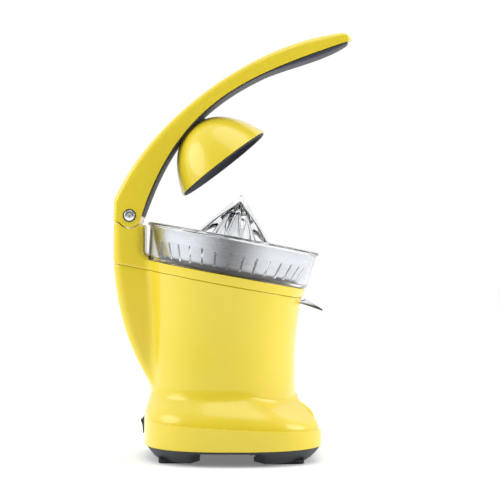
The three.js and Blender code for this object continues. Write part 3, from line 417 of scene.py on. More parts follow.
def offset_directions(flat):
    """For each corner of a closed outline, the way that moves it in by one unit."""
    area = 0.5 * np.sum(flat[:, 0] * np.roll(flat[:, 1], -1) - np.roll(flat[:, 0], -1) * flat[:, 1])
    side = 1 if area > 0 else -1
    ahead = np.roll(flat, -1, axis=0) - flat
    ahead /= np.maximum(np.linalg.norm(ahead, axis=1), 1e-9)[:, None]
    normal = np.column_stack([-ahead[:, 1], ahead[:, 0]]) * side
    both = normal + np.roll(normal, 1, axis=0)
    return both / np.maximum((both * both).sum(axis=1), 0.5)[:, None] * 2


def boolean(piece, cutter, operation="DIFFERENCE"):
    """Cuts or joins with another object, which is then removed."""
    modifier = piece.modifiers.new(operation.lower(), "BOOLEAN")
    modifier.operation = operation
    modifier.solver = "EXACT"
    modifier.object = cutter
    apply_modifiers(piece)
    bpy.data.objects.remove(cutter)
    return piece


def apply_modifiers(piece):
    bpy.context.view_layer.update()
    shape = piece.evaluated_get(bpy.context.evaluated_depsgraph_get())
    mesh = bpy.data.meshes.new_from_object(shape)
    piece.modifiers.clear()
    piece.data = mesh


# ------------------------------------------------------------ shader sheets
def arithmetic(operation):
    """The two methods behind a Python operator: socket first, and socket second."""

    def forward(self, other):
        return self.math(operation, self, other)

    def reflected(self, other):
        return self.math(operation, other, self)

    return forward, reflected


class Value:
    """A shader socket whose arithmetic adds Math nodes."""

    __add__, __radd__ = arithmetic("ADD")
    __sub__, __rsub__ = arithmetic("SUBTRACT")
    __mul__, __rmul__ = arithmetic("MULTIPLY")
    __truediv__, __rtruediv__ = arithmetic("DIVIDE")
    __pow__, __rpow__ = arithmetic("POWER")

    def __init__(self, tree, socket):
        self.tree = tree
        self.socket = socket

    def math(self, operation, *values):
        node = self.tree.node("ShaderNodeMath", {"operation": operation})
        for socket, value in zip(node.inputs, values):
            self.tree.feed(socket, value)
        return Value(self.tree, node.outputs[0])

    def clamped(self):
        return self.math("MINIMUM", self.math("MAXIMUM", self, 0.0), 1.0)


class Tree:
    """A node tree, built by expressions."""

    def __init__(self, tree):
        self.tree = tree

    def feed(self, socket, value):
        if isinstance(value, Value):
            self.tree.links.new(value.socket, socket)
        else:
            socket.default_value = value

    def node(self, kind, settings=None, **inputs):
        """A node of a kind: its settings first, then its sockets, named with _ for spaces."""
        node = self.tree.nodes.new(kind)
        for key, value in (settings or {}).items():
            setattr(node, key, value)
        for key, value in inputs.items():
            self.feed(node.inputs[key.replace("_", " ")], value)
        return node

    def value(self, kind, output, settings=None, **inputs):
        return Value(self, self.node(kind, settings, **inputs).outputs[output])

    def vector(self, operation, *values, output="Vector"):
        node = self.node("ShaderNodeVectorMath", {"operation": operation})
        for socket, value in zip(node.inputs, values):
            self.feed(socket, value)
        return Value(self, node.outputs[output])

    def dot(self, a, b):
        return self.vector("DOT_PRODUCT", a, b, output="Value")


class Sheet(Tree):
    """One material and its node tree."""

    def __init__(self, name):
        self.material = bpy.data.materials.new(name)
        self.material.use_nodes = True
        super().__init__(self.material.node_tree)
        self.shader = self.tree.nodes["Principled BSDF"]

    def place(self):
        """Position in the piece's own space, which is the frame's."""
        return self.value("ShaderNodeTexCoord", "Object")

    def noise(self, scale, detail=3.0, stretch=None):
        """Noise from 0 to 1 whose spots are about 1 / scale metres across."""
        at = self.place()
        if stretch:
            at = self.vector("MULTIPLY", at, stretch)
        return self.value("ShaderNodeTexNoise", "Fac", Vector=at, Scale=scale, Detail=detail)

    def blend(self, share, first, second):
        """A colour between two colours."""
        node = self.node("ShaderNodeMix", {"data_type": "RGBA"})
        for index, value in ((0, share), (6, first), (7, second)):  # the colour type's sockets
            self.feed(node.inputs[index], value)
        return Value(self, node.outputs[2])

    def tones(self, share, tone, first, second):
        """A tone taken from one strength to another."""
        return self.blend(share, shade(tone, first), shade(tone, second))

    def set(self, **inputs):
        for key, value in inputs.items():
            self.feed(self.shader.inputs[key.replace("_", " ")], value)

    def bump(self, height, strength, depth):
        """Relief: depth is the real height of the pattern in metres."""
        normal = self.value("ShaderNodeBump", "Normal", Strength=strength, Distance=depth,
                            Height=height)
        self.set(Normal=normal)


def shade(tone, factor):
    """A colour made lighter or darker, with the alpha that a node's colour needs."""
    return tuple(min(1.0, c * factor) for c in tone) + (1.0,)


def gloss_shell(tone):
    """Polished moulded plastic: a faint orange-peel surface and the softest change of depth."""
    sheet = Sheet("gloss_shell")
    cloud = sheet.noise(9.0, detail=2.0)
    peel = sheet.noise(900.0, detail=1.0)
    swirl = sheet.noise(60.0, detail=4.0)
    warm = (tone[0], tone[1] * 0.93, tone[2] * 0.8)
    sheet.set(Base_Color=sheet.blend(cloud, shade(tone, 1.0), shade(warm, 1.0)))
    sheet.set(Roughness=0.17 + 0.10 * swirl, Coat_Weight=0.25, Coat_Roughness=0.08)
    sheet.bump(peel, 0.02, 0.05 * MM)
    return sheet.material


def soft_grey(tone):
    """Soft-touch lining and grip with a fine spark-eroded grain."""
    sheet = Sheet("soft_grey")
    grain = sheet.noise(2600.0, detail=3.0)
    cloud = sheet.noise(25.0)
    sheet.set(Base_Color=sheet.tones(cloud, tone, 0.9, 1.15))
    sheet.set(Roughness=0.52 + 0.16 * grain, Specular_IOR_Level=0.3)
    sheet.bump(grain, 0.25, 0.12 * MM)
    return sheet.material


def black_plastic(tone):
    """Black moulded plastic with a fine grain and slightly greyer worn patches."""
    sheet = Sheet("black_plastic")
    grain = sheet.noise(2000.0, detail=2.0)
    wear = sheet.noise(40.0, detail=5.0)
    sheet.set(Base_Color=sheet.tones(wear ** 3.0, tone, 0.85, 1.9))
    sheet.set(Roughness=0.38 + 0.2 * grain)
    sheet.bump(grain, 0.3, 0.1 * MM)
    return sheet.material


def moulded_rubber(tone):
    """Matt rubber with a powdery bloom."""
    sheet = Sheet("moulded_rubber")
    bloom = sheet.noise(120.0, detail=6.0)
    grain = sheet.noise(3000.0)
    sheet.set(Base_Color=sheet.tones(bloom, tone, 0.8, 2.2))
    sheet.set(Roughness=0.72 + 0.2 * bloom)
    sheet.bump(grain, 0.3, 0.15 * MM)
    return sheet.material


def clear_plastic(tone):
    """Clear moulded plastic: faint handling haze in its gloss."""
    sheet = Sheet("clear_plastic")
    haze = sheet.noise(70.0, detail=4.0)
    flow = sheet.noise(160.0, detail=1.0)
    sheet.set(Base_Color=sheet.tones(haze, tone, 1.0, 0.98))
    sheet.set(Roughness=0.01 + 0.03 * haze ** 2.0)
    sheet.set(Transmission_Weight=1.0, IOR=1.49)
    sheet.bump(flow, 0.02, 0.1 * MM)
    return sheet.material


def brushed_steel(tone):
    """Sheet steel brushed round the deck axis: the lines run round, so they change with the radius
    and the height. Plain surroundings give it nothing dark to mirror, so a painted reflection and
    painted shade darken its colour where it faces along Y, on its inward sides and under the deck."""
    sheet = Sheet("brushed_steel")
    axis = tuple(DECK_AXIS)
    at = sheet.vector("SUBTRACT", sheet.place(), tuple(DECK))
    height = sheet.dot(at, axis)
    size = sheet.vector("LENGTH", at, output="Value")
    radius = (size * size - height * height) ** 0.5
    across = sheet.dot(at, (0, 1, 0)) / (radius + 1 * MM)
    # painted reflection: darker where the steel faces along Y
    side_reflection = (across * across) ** 9.0
    # painted shade under the deck
    under = ((height + 12 * MM) * -300.0).clamped()
    normal = sheet.value("ShaderNodeTexCoord", "Normal")
    outward = sheet.dot(normal, at) - height * sheet.dot(normal, axis)
    # painted shade on the inward sides
    inward = (outward * -80.0).clamped()
    # painted reflection and painted shade together, which take the colour down to a tenth of the tone
    dark = (side_reflection * 1.1 + under + inward * 0.85).clamped()
    fine = 900.0  # lines to a metre, before the noise's own scale
    lines = sheet.value("ShaderNodeCombineXYZ", "Vector", X=radius * fine, Y=0.0, Z=height * fine)
    brush = sheet.value("ShaderNodeTexNoise", "Fac", Vector=lines, Scale=4.0, Detail=4.0)
    smear = sheet.noise(30.0)
    bright = sheet.tones(brush, tone, 1.3, 1.5)
    sheet.set(Base_Color=sheet.blend(dark, bright, shade(tone, 0.1)))
    sheet.set(Metallic=1.0, Roughness=0.20 + 0.10 * brush + 0.06 * smear)
    sheet.bump(brush, 0.12, 0.05 * MM)
    return sheet.material


def machined_steel(tone):
    """Plain steel of shafts, screws and springs: fine turning marks and dull patches."""
    sheet = Sheet("machined_steel")
    marks = sheet.noise(500.0, detail=5.0, stretch=(1.0, 1.0, 4.0))
    sheet.set(Base_Color=sheet.tones(marks, tone, 0.62, 0.92))
    sheet.set(Metallic=1.0, Roughness=0.26 + 0.2 * marks)
    sheet.bump(marks, 0.1, 0.05 * MM)
    return sheet.material


def chrome_plate(tone):
    """Bright plating with the lightest dulling."""
    sheet = Sheet("chrome_plate")
    haze = sheet.noise(220.0, detail=4.0)
    sheet.set(Base_Color=sheet.tones(haze, tone, 1.25, 1.4))
    sheet.set(Metallic=1.0, Roughness=0.2 + 0.1 * haze)
    return sheet.material


def gear_nylon(tone):
    """Natural nylon with a waxy skin."""
    sheet = Sheet("gear_nylon")
    cloud = sheet.noise(150.0, detail=4.0)
    sheet.set(Base_Color=sheet.tones(cloud, tone, 0.93, 1.05))
    sheet.set(Roughness=0.42 + 0.15 * cloud, Subsurface_Weight=0.1, Subsurface_Scale=2 * MM)
    sheet.bump(cloud, 0.1, 0.05 * MM)
    return sheet.material


def wound_copper(tone):
    """Copper windings and bronze: fine parallel wires and darker varnish."""
    sheet = Sheet("wound_copper")
    wires = sheet.noise(1400.0, detail=2.0, stretch=(1.0, 1.0, 0.15))
    sheet.set(Base_Color=sheet.tones(wires, tone, 0.6, 1.2))
    sheet.set(Metallic=1.0, Roughness=0.3 + 0.2 * wires)
    sheet.bump(wires, 0.4, 0.2 * MM)
    return sheet.material


def cast_zinc(tone):
    """Dull cast and plated metal with a sandy skin."""
    sheet = Sheet("cast_zinc")
    sand = sheet.noise(1100.0, detail=5.0)
    patch = sheet.noise(60.0)
    sheet.set(Base_Color=sheet.tones(patch, tone, 0.85, 1.15))
    sheet.set(Metallic=1.0, Roughness=0.42 + 0.2 * sand)
    sheet.bump(sand, 0.3, 0.1 * MM)
    return sheet.material


FINISHES = {  # maker, the colour that it starts from, the record's slot
    "shell": (gloss_shell, "shell", "yellow_shell"),
    "soft": (soft_grey, "soft", "charcoal_soft"),
    "black": (black_plastic, "black", "black_plastic"),
    "rubber": (moulded_rubber, "rubber", "rubber"),
    "clear": (clear_plastic, "clear", "clear_plastic"),
    "tinted": (clear_plastic, "bowl", "clear_plastic"),
    "sheet_steel": (brushed_steel, "steel", "satin_steel"),
    "steel": (machined_steel, "steel", "steel"),
    "chrome": (chrome_plate, "steel", "chrome"),
    "nylon": (gear_nylon, "nylon", "white_nylon"),
    "copper": (wound_copper, "copper", "copper_alloy"),
    "zinc": (cast_zinc, "zinc", "zinc"),
}
MADE = {}


def finish_of(key):
    """The material and the record's slot of a finish, made once."""
    maker, tone, slot = FINISHES[key]
    if key not in MADE:
        MADE[key] = maker(tuple(getattr(bpy.context.scene.juicer_colours, tone)))
    return MADE[key], slot


def paint(piece, material):
    piece.data.materials.clear()
    piece.data.materials.append(material)


def dress(piece, body, key, *nodes):
    """Gives a piece its finish, its body and the CAD nodes that it stands for."""
    material, slot = finish_of(key)
    paint(piece, material)
    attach(piece, body)
    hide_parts(*nodes)


# ------------------------------------------------------------ the housing's field
class Level:
    """A surface z = height(x) across the housing, with the outline of the base and drum on it."""

    def __init__(self, height, radius=None, centre=DRUM_X, lean=0.0, share=None):
        self.height = height
        self.radius = radius
        self.centre = centre
        self.lean = lean
        self.share = share  # of the way from the drum out to the base's plan outline

    def body(self, x, y, z):
        """Distance to the base or drum."""
        if self.share is None:
            return np.hypot((x - self.centre) / math.cos(self.lean), y) - self.radius
        drum = np.hypot(x - DRUM_X, y) - DRUM_RADIUS
        base = np.hypot(x - DRUM_X, y) - base_radius(np.arctan2(y, x - DRUM_X), self.share)
        for side in (-1, 1):
            normal = (FACET_NORMAL[0], side * FACET_NORMAL[1], FACET_NORMAL[2])
            facet = (x - FACET_POINT[0]) * normal[0] + (y - side * FACET_POINT[1]) * normal[1]
            facet = facet + (z - FACET_POINT[2]) * normal[2]
            base = smooth_max(base, facet, 2 * MM)
        return smooth_min(base, drum, 3 * MM)

    def field(self, x, y, z):
        """Distance to the whole housing: drum and column joined, glass hollow taken out."""
        joined_up = smooth_min(self.body(x, y, z), column(x, y, z), 8 * MM)
        return smooth_max(joined_up, -scoop(x, y, z), 2 * MM)


def base_radius(angle, share):
    """Radius round the drum's centre of the base's outline, at a share of the way out to it."""
    a = np.linspace(-math.pi, math.pi, 721)
    x, y = squared(a, 2 / BASE_POWER)
    x = (BASE_FRONT + BASE_REAR) / 2 + (BASE_FRONT - BASE_REAR) / 2 * x
    x = mix(DRUM_RADIUS * np.cos(a), x - DRUM_X, share)
    y = mix(DRUM_RADIUS * np.sin(a), BASE_HALF * y, share)
    found = np.arctan2(y, x)
    order = np.argsort(found)
    return np.interp(angle, found[order], np.hypot(x, y)[order], period=2 * math.pi)


# the column's rear edge: on down inside the base, up its curve, and straight to the split
CURVE_POINTS = bezier(COLUMN_CURVE, np.linspace(0, 1, 80))
REAR_HEIGHTS = np.concatenate([[CURVE_POINTS[0, 1] - 16 * MM], CURVE_POINTS[:, 1], [SPLIT]])
REAR_PLACES = np.concatenate([[CURVE_POINTS[0, 0] + 14 * MM], CURVE_POINTS[:, 0], [COLUMN_REAR]])


def column(x, y, z, front=-40 * MM):
    """Distance to the column behind the drum."""
    rear = np.interp(z, REAR_HEIGHTS, REAR_PLACES)
    return rounded_box(x, y, rear, front, COLUMN_HALF, COLUMN_CORNER)


def scoop(x, y, z):
    """Distance to the hollow where the glass stands."""
    rise = np.clip((z - BASE_BOTTOM) / (WAIST + 4 * MM - BASE_BOTTOM), 0, 1)
    open_above = (z - WAIST + 6 * MM) * 0.9
    return smooth_max(np.hypot(x - SCOOP_X, y) - SCOOP_RADIUS - SCOOP_FLARE * rise, open_above, 4 * MM)


def band_top(x):
    return BAND_TOP - BAND_SLOPE * x


def deck_height(w):
    """The plane square to the deck axis at a height w over the deck."""
    middle = DECK + DECK_AXIS * w
    return lambda x: middle.z - (x - middle.x) * math.tan(TILT)


def deck_level(w):
    middle = DECK + DECK_AXIS * w
    share = 1 + w / (DECK.z - DRUM_STRAIGHT_TOP)
    radius = mix(DRUM_RADIUS, DECK_RADIUS, share**DRUM_FLARE)
    return Level(deck_height(w), radius, middle.x, TILT)


def base_levels():
    """Levels of the band and of the flare over it, up to the waist."""
    levels = []
    for t in np.linspace(0.06, 1, 7):
        levels.append(Level(lambda x, t=t: mix(BASE_BOTTOM, band_top(x) - 0.8 * MM, t), share=1.0))
    for t in [0, 0.02, 0.03, 0.05, *np.linspace(0.08, 1, 28)]:
        ledge = 1 - BAND_LEDGE * min(1, t / 0.02)
        flare = (1 - t * t) ** BASE_FLARE
        levels.append(Level(lambda x, t=t: mix(band_top(x), WAIST, t), share=flare * ledge))
    return levels


def drum_levels(top, count):
    """Levels from the waist up the drum, leaning over until they lie along the deck at top."""
    levels = []
    for z in np.linspace(WAIST + 3 * MM, DRUM_STRAIGHT_TOP, 8):
        levels.append(Level(lambda x, z=z: z + 0 * x, DRUM_RADIUS))
    end = DECK + DECK_AXIS * top
    last = 1 + top / (DECK.z - DRUM_STRAIGHT_TOP)
    for s in np.linspace(0, 1, count)[1:]:
        centre = mix(DRUM_X, end.x, s)
        height = mix(DRUM_STRAIGHT_TOP, end.z, s)
        lean = TILT * s
        radius = mix(DRUM_RADIUS, DECK_RADIUS, (s * last) ** DRUM_FLARE)
        levels.append(
            Level(
                lambda x, c=centre, h=height, t=lean: h - (x - c) * math.tan(t),
                radius, centre, lean,
            )
        )
    return levels


def level_ring(level, inset=0.0, drop=0.0):
    """The housing's outline on a level, moved in by inset and down by drop."""
    return outline(level.field, lambda x: level.height(x) - drop, DRUM_X, inset)


# ------------------------------------------------------------ operators: housing
class StepOperator:
    """Shared by all the operators"""

    bl_options = {"REGISTER", "UNDO"}

    @property
    def sizes(self):
        return bpy.context.scene.juicer_sizes


class JUICER_OT_lower_shell(StepOperator, bpy.types.Operator):
    """Drum, base and foot of the column, below the seam"""

    bl_idname = "juicer.lower_shell"
    bl_label = "Lower shell"

    def execute(self, context):
        wall = self.sizes.shell_wall
        edge = self.sizes.shell_edge
        top = SEAM - SEAM_GAP / 2
        levels = base_levels() + drum_levels(top, 24)
        bottom = Level(lambda x: BASE_BOTTOM + 0 * x, share=1.0)
        rings = [
            level_ring(bottom, edge),
            level_ring(bottom, edge * 0.3, drop=-edge * 0.4),
            level_ring(bottom, 0, drop=-edge * 1.4),
            *[level_ring(level) for level in levels[1:-1]],
            level_ring(levels[-1], 0, drop=edge * 1.2),
            level_ring(levels[-1], edge * 0.3, drop=edge * 0.35),
            level_ring(levels[-1], edge),
            *[level_ring(level, wall) for level in levels[::-1][::3]],
            level_ring(bottom, wall),
        ]
        shell = skin("body_shell_lower", rings, loop=True)
        for cutter in (slot_cutter(), switch_cutter(), gland_cutter()):
            boolean(shell, cutter)
        soften(shell, 24)
        dress(shell, "housing", "shell", "lower_housing")
        return {"FINISHED"}


def block_corners(left, right, low, high):
    """A rectangle's corners, for a prism's profile."""
    return [(left, low), (right, low), (right, high), (left, high)]


def slot_cutter():
    """Room for the spout through the front of the drum, along the deck."""
    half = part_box("spout")[1].y + 0.8 * MM
    edge = 1 * MM
    corners = block_corners(62 * MM, 100 * MM, -21 * MM, -8 * MM)
    return prism("cutter", rounded(corners, [edge] * 4), -half, half, DECK_FRAME, edge * 0.4)


def switch_cutter():
    """Room for the switch in the rear of the base."""
    low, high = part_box("switch_bezel")
    clear = 0.2 * MM
    corners = block_corners(low.x - 8 * MM, high.x + 1 * MM, low.z - clear, high.z + clear)
    return prism("cutter", corners, low.y - clear, high.y + clear)


def gland_cutter():
    """Round hole for the cord's inlet."""
    low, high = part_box("cord_gland")
    middle = (low + high) / 2
    radius = (high.z - low.z) / 2 - 1.1 * MM
    along = Matrix.Translation((0, middle.y, middle.z)) @ Matrix.Rotation(math.pi / 2, 4, "Y")
    profile = [(0, low.x - 6 * MM), (radius, low.x - 6 * MM), (radius, high.x + 6 * MM),
               (0, high.x + 6 * MM)]
    return turned("cutter", profile, along, 32, closed=False)


class JUICER_OT_upper_shell(StepOperator, bpy.types.Operator):
    """Rim of the drum with the deck, and the column above it"""

    bl_idname = "juicer.upper_shell"
    bl_label = "Upper shell"

    def execute(self, context):
        deck = self.deck_ring()
        top = self.column_top()
        shell = joined("body_shell_upper", [deck, top])
        dress(shell, "housing", "shell", "upper_housing")
        return {"FINISHED"}

    def deck_ring(self):
        wall = self.sizes.shell_wall
        edge = self.sizes.shell_edge
        low = SEAM + SEAM_GAP / 2
        bottom = deck_level(low)
        rings = [level_ring(bottom, edge), level_ring(bottom, edge * 0.3, drop=-edge * 0.35)]
        rings += [level_ring(deck_level(w)) for w in np.linspace(low + edge * 1.2, -2 * edge, 6)]
        rim = deck_level(0)
        rings += [self.lip_ring(rim, edge * 0.3, edge * 0.6), self.lip_ring(rim, edge, 0)]
        angles = self.rim_angles(rings[-1])
        for radius, w in self.deck_profile():
            rings.append(self.deck_circle(radius, w, angles))
        plate = deck_level(DECK_PLATE_TOP - DECK_PLATE)
        rings.append(level_ring(plate, wall + 0.4 * MM))
        rings.append(level_ring(bottom, wall))
        deck = skin("deck_ring", rings, loop=True)
        drain = turned("cutter", [(0, -0.03), (8 * MM, -0.03), (8 * MM, 0), (0, 0)],
                       DECK_FRAME @ Matrix.Translation((DRAIN_U, 0, 0)), 48, closed=False)
        return boolean(deck, drain)

    def lip_ring(self, level, inset, drop):
        """The rim's rounded edge, which fades out where the column stands on it."""
        ring = level_ring(level)
        moved_in = level_ring(level, inset, drop)
        on_column = smoothstep(-60 * MM, -72 * MM, ring[:, 0])[:, None]
        return mix(moved_in, ring, on_column)

    def deck_profile(self):
        """Radius and height pairs from the rim over the recess to the tower and its bore."""
        tower = 11 * MM
        bore = 8 * MM
        tower_top = 14 * MM
        return [
            (NEST_RADIUS + 1 * MM, 0), (NEST_RADIUS + 0.2 * MM, -0.3 * MM), (NEST_RADIUS, -1 * MM),
            (NEST_RADIUS, DECK_PLATE_TOP + 2 * MM), (NEST_RADIUS - 0.6 * MM, DECK_PLATE_TOP + 0.6 * MM),
            (NEST_RADIUS - 2 * MM, DECK_PLATE_TOP), (NEST_RADIUS * 0.5, DECK_PLATE_TOP),
            (tower + 3 * MM, DECK_PLATE_TOP), (tower + 0.8 * MM, DECK_PLATE_TOP + 0.8 * MM),
            (tower, DECK_PLATE_TOP + 3 * MM), (tower, tower_top - 0.8 * MM),
            (tower - 0.8 * MM, tower_top), (bore, tower_top),
            (bore, DECK_PLATE_TOP - DECK_PLATE),
        ]

    def rim_angles(self, ring):
        """Angles round the deck axis at which the points of a ring lie."""
        local = np.array([tuple(DECK_FRAME.inverted() @ Vector(p)) for p in ring])
        return np.arctan2(local[:, 1], local[:, 0])

    def deck_circle(self, radius, w, angles):
        """A circle on the deck's axes with points at the given angles."""
        around = [Vector((radius * math.cos(a), radius * math.sin(a), w)) for a in angles]
        return np.array([tuple(DECK_FRAME @ p) for p in around])

    def column_top(self):
        """The column over the deck, up to the seat that the arm's hub turns in."""
        edge = self.sizes.shell_edge
        low = deck_height(0)

        def seat(x):
            reach = KNUCKLE + HUB_ROOM
            dip = PIVOT.z - np.sqrt(np.maximum(reach**2 - (x - PIVOT.x) ** 2, 0))
            front = smoothstep(PIVOT.x, PIVOT.x + KNUCKLE, x)  # lower before the arm's pressed edge
            edge_height = SPLIT - 0.3 * MM - 2.2 * MM * front
            return np.minimum(edge_height, np.where(np.abs(x - PIVOT.x) < reach, dip, SPLIT))

        def ring(share, inset, drop):
            def height(x):
                return mix(low(x), seat(x), share) - drop

            return outline(self.column_field, height, COLUMN_CENTRE, inset, 0.07, 200, 900)

        rings = [ring(0, 0.6 * MM, 2 * MM), ring(0, 0.6 * MM, 0.3 * MM)]
        rings += [ring(t, 0, 0) for t in [*np.linspace(0, 0.4, 16), *np.linspace(0.45, 0.95, 8)]]
        rings += [ring(1, 0, edge * 1.2), ring(1, edge * 0.3, edge * 0.35), ring(1, edge, 0)]
        return skin("column_top", rings)

    def column_field(self, x, y, z):
        """Column with its foot curving forward into the rim, cut round by the bowl's room."""
        step = DECK.z + (DECK.x - COLUMN_FRONT) * math.tan(TILT)
        t = np.clip((z - step + 2 * MM) / COLUMN_FILLET, 0, 1)
        front = mix(DRUM_X - 50 * MM, COLUMN_FRONT, np.sqrt(1 - (1 - t) ** 2))
        offset = np.stack([x - DECK.x, y, z - DECK.z])
        along = offset[0] * DECK_AXIS.x + offset[2] * DECK_AXIS.z
        away = np.sqrt(np.maximum((offset**2).sum(axis=0) - along**2, 0))
        room = np.interp(along, *zip(*metres(BOWL_ROOM)))
        return smooth_max(column(x, y, z, front), room - away, 1.5 * MM)


class JUICER_OT_bottom(StepOperator, bpy.types.Operator):
    """Bottom cover with its four foot blocks, and the rubber feet"""

    bl_idname = "juicer.bottom"
    bl_label = "Bottom cover and feet"

    def execute(self, context):
        top = COVER_TOP
        level = Level(lambda x: top + 0 * x, share=1.0)
        underside = 12.2 * MM
        block_sole = 1.4 * MM
        outer = level_ring(level, 1 * MM)
        block = smoothstep(34 * MM, 44 * MM, np.abs(outer[:, 1]))
        block = block * np.maximum(
            smoothstep(-38 * MM, -46 * MM, outer[:, 0]), smoothstep(33 * MM, 40 * MM, outer[:, 0])
        )
        sole = mix(underside, block_sole, block)
        rings = [level_ring(level, 3 * MM)]
        for inset, extra, share in (  # extra inset under a foot; share of the way up from its sole
            (1.0, 0.0, 1.0), (1.4, 0.4, 0.93), (2.2, 2.4, 0.62), (3.2, 5.6, 0.28), (4.4, 8.2, 0.05),
            (5.6, 10.0, 0.0), (24.0, 12.0, 0.0),
        ):
            rings.append(self.cover_ring(level, inset, extra, block, mix(sole, top, share)))
        for inset, rise in ((25.5, -0.3), (26.5, 0.5)):
            rings.append(self.cover_ring(level, inset, 12.0, block, underside + rise * MM))
        cover = skin("bottom_cover_skirt", rings)
        dress(cover, "housing", "black", "bottom_cover")
        for node in ("foot_rear_left", "foot_rear_right", "foot_front_left", "foot_front_right"):
            self.foot(node)
        return {"FINISHED"}

    def cover_ring(self, level, inset, extra, block, height):
        """An outline at a height, moved in by more where block says that a foot stands."""
        ring = mix(level_ring(level, inset * MM), level_ring(level, (inset + extra) * MM),
                   block[:, None])
        ring[:, 2] = height
        return ring

    def foot(self, node):
        """A rubber pad under a foot block, with a domed edge and grooves round it."""
        low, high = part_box(node)
        middle = (low + high) / 2
        half = (high - low) / 2
        across, along = squared(round_angles(64), 0.5)
        rings = []
        for inset, z in ((2.2, 0.0), (1.2, 0.15), (0.6, 0.7), (0.9, 1.2), (0.6, 1.6), (0.6, 4.2)):
            x = middle.x + (half.x - inset * MM) * across
            y = middle.y + (half.y - inset * MM) * along
            rings.append(np.column_stack([x, y, np.full(len(x), low.z + z * MM)]))
        dress(skin("pad_" + node, rings), "housing", "rubber", node)


class JUICER_OT_controls(StepOperator, bpy.types.Operator):
    """Power switch with its frame, and the cord inlet"""

    bl_idname = "juicer.controls"
    bl_label = "Switch and inlet"

    def execute(self, context):
        low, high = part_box("switch_bezel")
        outer = block_corners(low.y, high.y, low.z, high.z)
        inner = block_corners(low.y + 2 * MM, high.y - 2 * MM, low.z + 1.2 * MM, high.z - 1.2 * MM)
        turn = Matrix.Rotation(math.pi / 2, 4, "Z")
        frame_piece = prism("switch_frame", rounded(outer, [2 * MM] * 4), -high.x, -low.x, turn,
                            0.4 * MM)
        cutter = prism("cutter", rounded(inner, [0.8 * MM] * 4), -high.x + 2 * MM, -low.x + 2 * MM,
                       turn)
        boolean(frame_piece, cutter)
        soften(frame_piece)
        dress(frame_piece, "housing", "black", "switch_bezel")
        self.rocker()
        self.inlet()
        return {"FINISHED"}

    def rocker(self):
        low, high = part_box("rocker")
        face = low.x
        middle = (low.z + high.z) / 2
        profile = [
            (face + 8.8 * MM, middle - 3 * MM), (face + 4.3 * MM, low.z), (face + 2.2 * MM, low.z),
            (face + 2.3 * MM, middle - 1 * MM), (face, high.z - 0.9 * MM),
            (face + 1.3 * MM, high.z), (face + 4.3 * MM, high.z), (face + 8.8 * MM, middle + 3 * MM),
        ]
        radii = [0.4 * MM, 0.4 * MM, 0.6 * MM, 3 * MM, 0.5 * MM, 0.5 * MM, 0.5 * MM, 0.4 * MM]
        rocker = prism("switch_rocker", rounded(profile, radii), low.y, high.y, edge=0.35 * MM)
        dress(rocker, "power_rocker", "black", "rocker")

    def inlet(self):
        """Grommet of the cord inlet, with three grooves; no cord is fitted."""
        low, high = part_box("cord_gland")
        middle = (low + high) / 2
        along = Matrix.Translation((high.x, middle.y, middle.z)) @ Matrix.Rotation(
            -math.pi / 2, 4, "Y")
        depth = high.x - low.x
        wide = (high.z - low.z) / 2
        profile = [
            (3.2 * MM, 0), (wide - 1.4 * MM, 0), (wide - 1.4 * MM, depth - 5 * MM),
            (wide, depth - 5 * MM), (wide, depth - 3 * MM), (wide - 1.2 * MM, depth - 2.4 * MM),
            (wide - 1.0 * MM, depth - 1.9 * MM), (wide - 2.0 * MM, depth - 1.2 * MM),
            (wide - 1.9 * MM, depth - 0.8 * MM), (4.6 * MM, depth), (3.2 * MM, depth),
        ]
        radii = [0, 0, 0, 0.5 * MM, 0.4 * MM, 0.2 * MM, 0.2 * MM, 0.2 * MM, 0.2 * MM, 0.3 * MM, 0.3 * MM]
        grommet = turned("inlet_grommet", rounded(profile, radii), along, 64)
        dress(grommet, "housing", "rubber", "cord_gland")


# ------------------------------------------------------------ operators: arm and dome
def facing(over):
    """The places on the lower edge straight across from those on the upper edge, evenly drawn."""
    share = np.linspace(0, 1, 4001)
    under = bezier(ARM_UNDER, share)
    ahead = np.gradient(over, axis=0)
    ahead /= np.linalg.norm(ahead, axis=1)[:, None]
    found = []
    for place, way in zip(over, ahead):
        away = under - place
        too_far = np.linalg.norm(away, axis=1) > 70 * MM
        across = np.abs(away @ way) + 10 * too_far
        found.append(share[int(np.argmin(across))])
    window = np.hanning(15)[1:-1]
    reach = len(window) // 2
    steady = np.pad(np.maximum.accumulate(found), reach, mode="edge")
    steady = np.convolve(steady, window / window.sum(), mode="valid")
    steady[-reach - 1:] = np.linspace(steady[-reach - 1], 1, reach + 1)  # ends at the nose
    return bezier(ARM_UNDER, steady)


def arm_half(t):
    return mix(ARM_HALF_HINGE, ARM_HALF_TIP, t)


